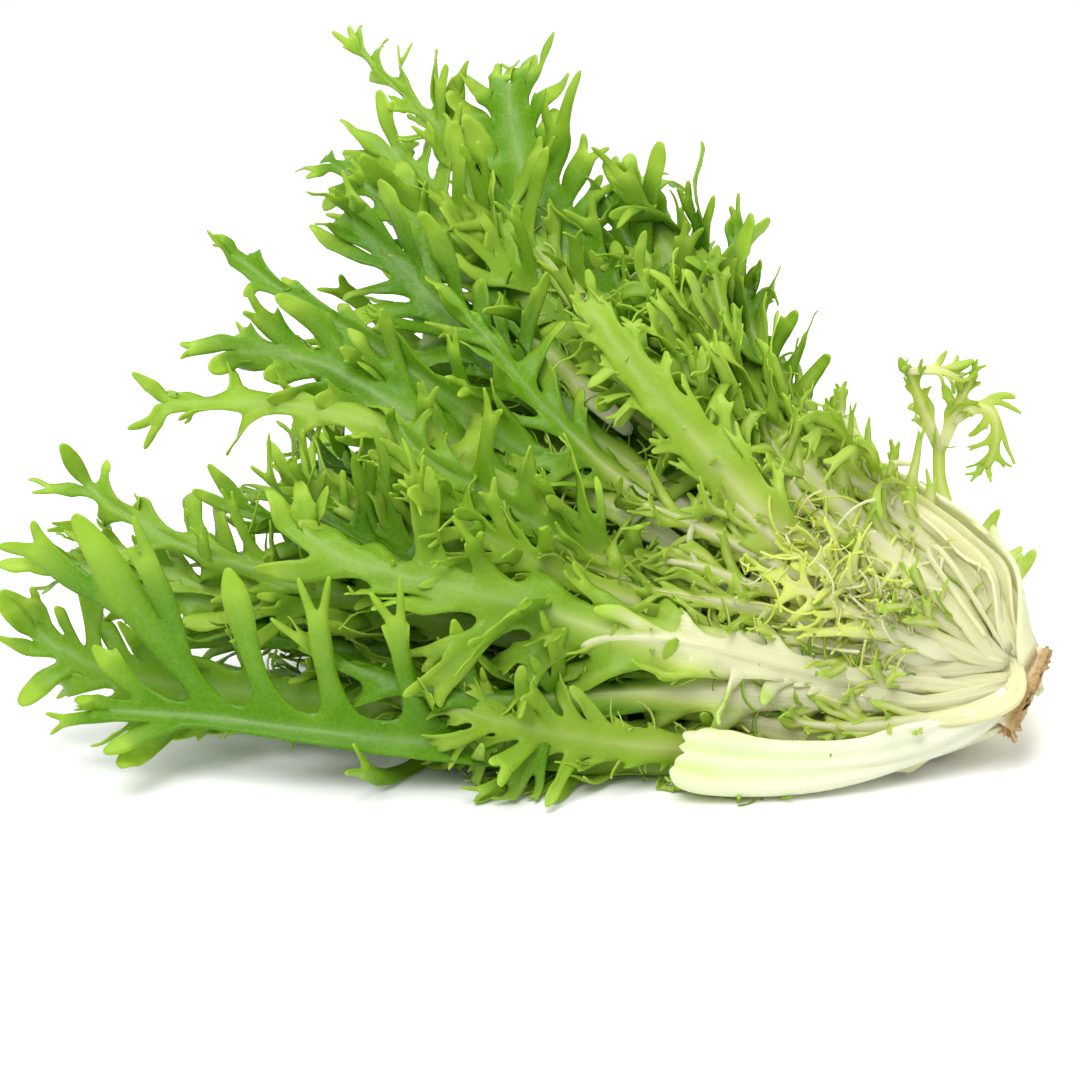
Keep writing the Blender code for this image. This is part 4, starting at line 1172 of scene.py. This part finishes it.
def curl_path(start, heading, sweep, length):
    """Points in the head's frame, in millimetres, of a path that curls over more and more tightly."""
    share = np.linspace(0, 1, 10)
    angle = heading + sweep * share**1.6
    rise = 0.6 * np.cos(math.pi * share)
    steps = length / 9 * np.column_stack([np.cos(angle), np.sin(angle), rise])
    return start + np.concatenate([np.zeros((1, 3)), np.cumsum(steps[1:], axis=0)])


def ribbon_sheet(length, width):
    """A narrow strip that tapers to both ends."""
    sheet, rows = Sheet(), []
    for share in np.linspace(0.0, 1.0, max(6, round(length / RIBBON_STEP))):
        half = width / 2 * (0.35 + 0.65 * math.sin(math.pi * share) ** 0.5)
        rows.append([
            sheet.point((share * length, c * half, 0.0), 0.3 * abs(c), 1 - abs(c), 0.5) for c in (-1, 0, 1)
        ])
    sheet.bridge_all(rows)
    return sheet


def make_face_strips(body, material):
    bunch = Bunch()
    for place, (knots, turn, half, green_from) in enumerate(FACE_STRIPS):
        draw = np.random.default_rng(STRIP_SEED + place)
        leaf = PathLeaf(in_head(knots), (turn, turn, -turn), draw, cup=20.0)
        habit = WAVY._replace(stalk=0.75 * leaf.length, stalk_half=half / 1000)
        sheet = lay_leaf(leaf.length, habit, draw)
        bunch.add(leaf, sheet, green_from - 0.04, green_from + 0.15, tone=0.0, margin=0.50)
    finish("face_strips", bunch, body, material, STRIP_BODY, 50.0, "pale_leaf", "inner_leaves")


def make_loose_leaves(label, leaves, seed, bunches, body, threads, material):
    """Leaves that go their own way, shared out over the bunches, with threads along their stalks."""
    for place, (knots, turns, habit, pale_to, green_from) in enumerate(leaves):
        draw = np.random.default_rng(seed + place)
        leaf, bunch = PathLeaf(in_head(knots), turns, draw), bunches[place % len(bunches)]
        add_leaf(bunch, leaf, habit, pale_to, green_from, draw, tones=(-0.9, 0.5), per_step=1)
    for place, bunch in enumerate(bunches):
        name = f"{label}_{place + 1}"
        finish(name, bunch, body, material, LOOSE_BODY, 30.0 + place, "pale_leaf", "inner_leaves")
        add_fringe(name, bunch, threads, material, 0.009, "inner_leaves", "pale_leaf", green=0.75)


def make_hand_leaf(body, material):
    """The low leaf at the left, whose fingers stand up from its rib like those of a hand."""
    draw, bunch = np.random.default_rng(HAND_SEED), Bunch()
    leaf = PathLeaf(in_head(HAND_KNOTS), (40, 30, 5, 0, 0), draw, wave=0.001)
    habit = BROAD._replace(
        stalk=0.130, stalk_half=0.0075, blade_half=0.0075, teeth=0.04, lobes=0.15, reach=0.022,
    )
    bunch.add(leaf, lay_leaf(leaf.length, habit, draw, chosen=HAND_FINGERS), 0.05, 0.16, tone=0.2)
    finish("hand_leaf", bunch, body, material, HAND_BODY, 40.0, "green_leaf", "outer_leaf_01")


def make_back_leaf(body, material):
    """The light green leaf bent away behind the head, branched like an antler."""
    draw, bunch = np.random.default_rng(BACK_SEED), Bunch()
    leaf = PathLeaf(STEM_AT + np.array(BACK_STEPS), (0, 0, 0, 0), draw, cup=2.0, wave=0.001)
    habit = SLIM._replace(
        stalk=0.080, stalk_half=0.0044, blade_half=0.0034, fingers=6, reach=0.004, teeth=0.30, lobes=0.9,
    )
    sheet = lay_leaf(leaf.length, habit, draw, end_width=0.6, chosen=BACK_FINGERS)
    bunch.add(leaf, sheet, 0.05, 0.21, tone=-0.4)
    size = habit._replace(
        stalk=0.010, stalk_half=0.0028, blade_half=0.0022, fingers=3, reach=0.006, width=0.0032,
        teeth=0.1, lobes=0.1,
    )
    for branch, turns in BACK_BRANCHES:
        twig = PathLeaf(STEM_AT + np.array(branch) / 1000, turns, draw, cup=2.0, wave=0.0)
        bunch.add(twig, lay_leaf(twig.length, size, draw, end_width=0.7), -0.03, 0.07, tone=-0.4)
    finish("bent_back_leaf", bunch, body, material, BACK_BODY, 41.0, "bent_leaf", "back_leaf")


def along_curve(points, shares):
    """The places at those shares of the way through a row of points."""
    stops = np.linspace(0, 1, len(points))
    return np.stack([np.interp(shares, stops, column) for column in points.T], axis=-1)


class CradleLeaf:
    """Where the trimmed leaf lies: on the floor under the head, and curved up along its near side."""

    length = 0.100

    def __init__(self):
        heights = np.linspace(0.004, self.length, 5)
        under = []
        for azimuth in np.radians((-44, -64)):
            side = np.full(5, azimuth)
            under.append(to_world(heights, shell_radius(1.0, heights, side), side))
        near_side = [in_head(curve) for curve in (TRIMMED_NEAR, TRIMMED_MID, TRIMMED_RIM)]
        self.curves = [smooth_path(curve) for curve in under + near_side]

    def place(self, plan):
        """World points of places on the flat leaf."""
        along, aside, off = plan.T
        placed = []
        for share, across, rise in zip(along / self.length, aside / TRIMMED_HALF / 2 + 0.5, off):
            section = smooth_path(np.array([along_curve(curve, share) for curve in self.curves]), steps=6)
            placed.append(along_curve(section, across) + OUT * rise)
        return np.array(placed)


def make_trimmed_leaf(body, material):
    """The outermost leaf, cut off bluntly: a broad ribbed white stalk with a wavy rim and a ragged end."""
    draw = np.random.default_rng(TRIMMED_SEED)
    leaf, sheet, rows = CradleLeaf(), Sheet(), []
    columns = np.linspace(-1, 1, TRIMMED_COLUMNS)
    ragged = draw.uniform(0, TRIMMED_RAGGED, TRIMMED_COLUMNS)
    ridges = np.abs(np.sin(columns * 9.0)) ** 0.7
    for share in np.linspace(0.0, 1.0, TRIMMED_ROWS):
        waves = math.sin(share * 17) + 0.7 * math.sin(share * 31 + 1)
        row = []
        for c, ridge, cut in zip(columns, ridges, ragged):
            rise = RIDGE_HEIGHT * ridge * share * (1 - 0.4 * share) + RIM_WAVE * waves * max(c, 0) ** 5
            place = (share * leaf.length - cut * share**8, c * TRIMMED_HALF, rise)
            row.append(sheet.point(place, 0.3 * abs(c), ridge, 0.0))
        rows.append(row)
    sheet.bridge_all(rows)
    bunch = Bunch()
    bunch.add(leaf, sheet, 0.020, 0.155, tone=-0.3, scarred=True, margin=0.15)
    finish("trimmed_stalk", bunch, body, material, TRIMMED_BODY, 42.0, "white_leaf", "trimmed_leaf")


def stem_mesh():
    """The halved stem: a dome with a flat cut face."""
    heights = np.concatenate([np.zeros(6), STEM_HEIGHT * (np.linspace(0, 1, 26)[1:] ** 1.4)])
    widths = np.concatenate([np.linspace(0.15, 1.0, 6), np.sqrt(1 - (heights[6:] / STEM_HEIGHT) ** 2)])
    behind, across = np.radians(np.linspace(-90, 90, 33)), np.linspace(1, -1, 14)[1:-1]
    shape = bmesh.new()
    rings = []
    for height, width in zip(heights, widths):
        radius = STEM_RADIUS * width
        ring = list(to_world(np.full(33, height), np.full(33, radius), behind))
        ring += [STEM_AT + ALONG * height + ACROSS * radius * c for c in across]
        rings.append([shape.verts.new(p) for p in ring])
    for near, far in zip(rings, rings[1:]):
        for k in range(len(near)):
            shape.faces.new((near[k], near[k - 1], far[k - 1], far[k]))
    shape.faces.new(rings[0])
    bmesh.ops.remove_doubles(shape, verts=shape.verts, dist=0.00002)
    bmesh.ops.recalc_face_normals(shape, faces=shape.faces)
    mesh = bpy.data.meshes.new("stem_butt")
    shape.to_mesh(mesh)
    shape.free()
    return mesh


def roughen_butt(mesh):
    """Makes the butt swell and its surface rough, and notes each point's height."""
    points = np.array([v.co for v in mesh.vertices])
    normals = np.array([v.normal for v in mesh.vertices])
    local = points - STEM_AT
    rise, aside, front = local @ ALONG, local @ ACROSS, local @ OUT
    rough = np.sin(aside / 0.0011 + 2 * np.sin(front / 0.0016)) * np.cos(front / 0.0013)
    at_butt = np.clip(1 - rise / BUTT_HEIGHT, 0, 1)
    points += normals * (BUTT_ROUGHNESS * rough * at_butt + BUTT_SWELL * at_butt)[:, None]
    mesh.vertices.foreach_set("co", points.ravel())
    set_values(mesh, "height", rise)


def make_stem(threads, material, shred_material):
    """The halved stem: a dome of flesh with a flat cut face, its butt brown, rough and frayed."""
    mesh = stem_mesh()
    roughen_butt(mesh)
    for polygon in mesh.polygons:
        polygon.use_smooth = True
    mesh.materials.append(material)
    settle(put("stem_butt", mesh), "stem_flesh", "stem")
    draw, bunch = np.random.default_rng(STEM_SEED), Bunch()
    for _ in range(SHREDS):
        azimuth = draw.uniform(-1.7, -0.2) if draw.uniform() < 0.7 else draw.uniform(-1.6, 1.6)
        radial = to_world(np.array(0.0), np.array(1.0), np.array(azimuth)) - STEM_AT
        seat = STEM_AT + ALONG * draw.uniform(0.000, 0.003)
        bunch.seats.append(seat + radial * STEM_RADIUS * draw.uniform(0.9, 1.0))
        bunch.outward.append(radial * 0.7 - ALONG * draw.uniform(-0.2, 0.5) + np.array((0, 0, -0.4)))
    settings = dict(zip(THREAD_INPUTS, SHRED_SHAPE), Seed=5, Material=shred_material)
    shreds = grown("butt_shreds", bunch.seat_mesh("butt_shreds", 0.0, 0.0), threads, settings)
    settle(shreds, "stem_flesh", "stem")


def look_at(piece, at, aim):
    piece.location = at
    piece.rotation_euler = (aim - Vector(at)).to_track_quat("-Z", "Y").to_euler()


def make_stage():
    """A plain pale floor and soft studio light."""
    world = bpy.data.worlds.new("studio")
    world.use_nodes = True
    background = world.node_tree.nodes["Background"]
    background.inputs[0].default_value = (1.0, 1.0, 1.0, 1.0)
    background.inputs[1].default_value = WORLD_STRENGTH
    bpy.context.scene.world = world
    mesh = bpy.data.meshes.new("floor")
    mesh.from_pydata([(-3, -3, 0), (3, -3, 0), (3, 3, 0), (-3, 3, 0)], [], [(0, 1, 2, 3)])
    floor = put("floor", mesh)
    paper = bpy.data.materials.new("floor_paper")
    paper.use_nodes = True
    shader = paper.node_tree.nodes["Principled BSDF"]
    shader.inputs["Base Color"].default_value = (0.93, 0.93, 0.93, 1.0)
    shader.inputs["Roughness"].default_value = 0.8
    mesh.materials.append(paper)
    for name, at, size, power in LIGHTS:
        light = bpy.data.lights.new(name, "AREA")
        light.size, light.energy = size, power
        look_at(put(name, light), at, LIGHT_AIM)
    bpy.context.scene.view_settings.view_transform = "Standard"


def make_camera():
    """The camera at the photograph's viewing angle."""
    data = bpy.data.cameras.new("camera")
    data.lens, data.sensor_width = CAMERA_LENS, 36.0
    camera = put("camera", data)
    away = Vector((0.0, -math.cos(CAMERA_ELEVATION), math.sin(CAMERA_ELEVATION)))
    look_at(camera, CAMERA_AIM + away * CAMERA_DISTANCE, CAMERA_AIM)
    bpy.context.scene.camera = camera


def main():
    make_camera()
    make_stage()
    body, threads = leaf_body_tree(), thread_tree()
    green, pale, heart, white, light = (
        leaf_material(name, colours, gloss, through, specked=name == "white_leaf_skin")
        for name, colours, gloss, through in SKINS
    )
    make_outer_leaves(body, green)
    make_hand_leaf(body, green)
    make_inner_leaves(body, threads, pale, heart)
    make_cut_leaves(body, light)
    make_loose_leaves("front_leaves", FRONT_LEAVES, FRONT_SEED, [Bunch(), Bunch()], body, threads, pale)
    make_loose_leaves("light_leaves", LIGHT_LEAVES, LIGHT_SEED, [Bunch()], body, threads, light)
    make_face_strips(body, light)
    make_heart(body, threads, heart)
    make_back_leaf(body, light)
    make_trimmed_leaf(body, white)
    make_stem(threads, stem_material(), bark_material())


main()
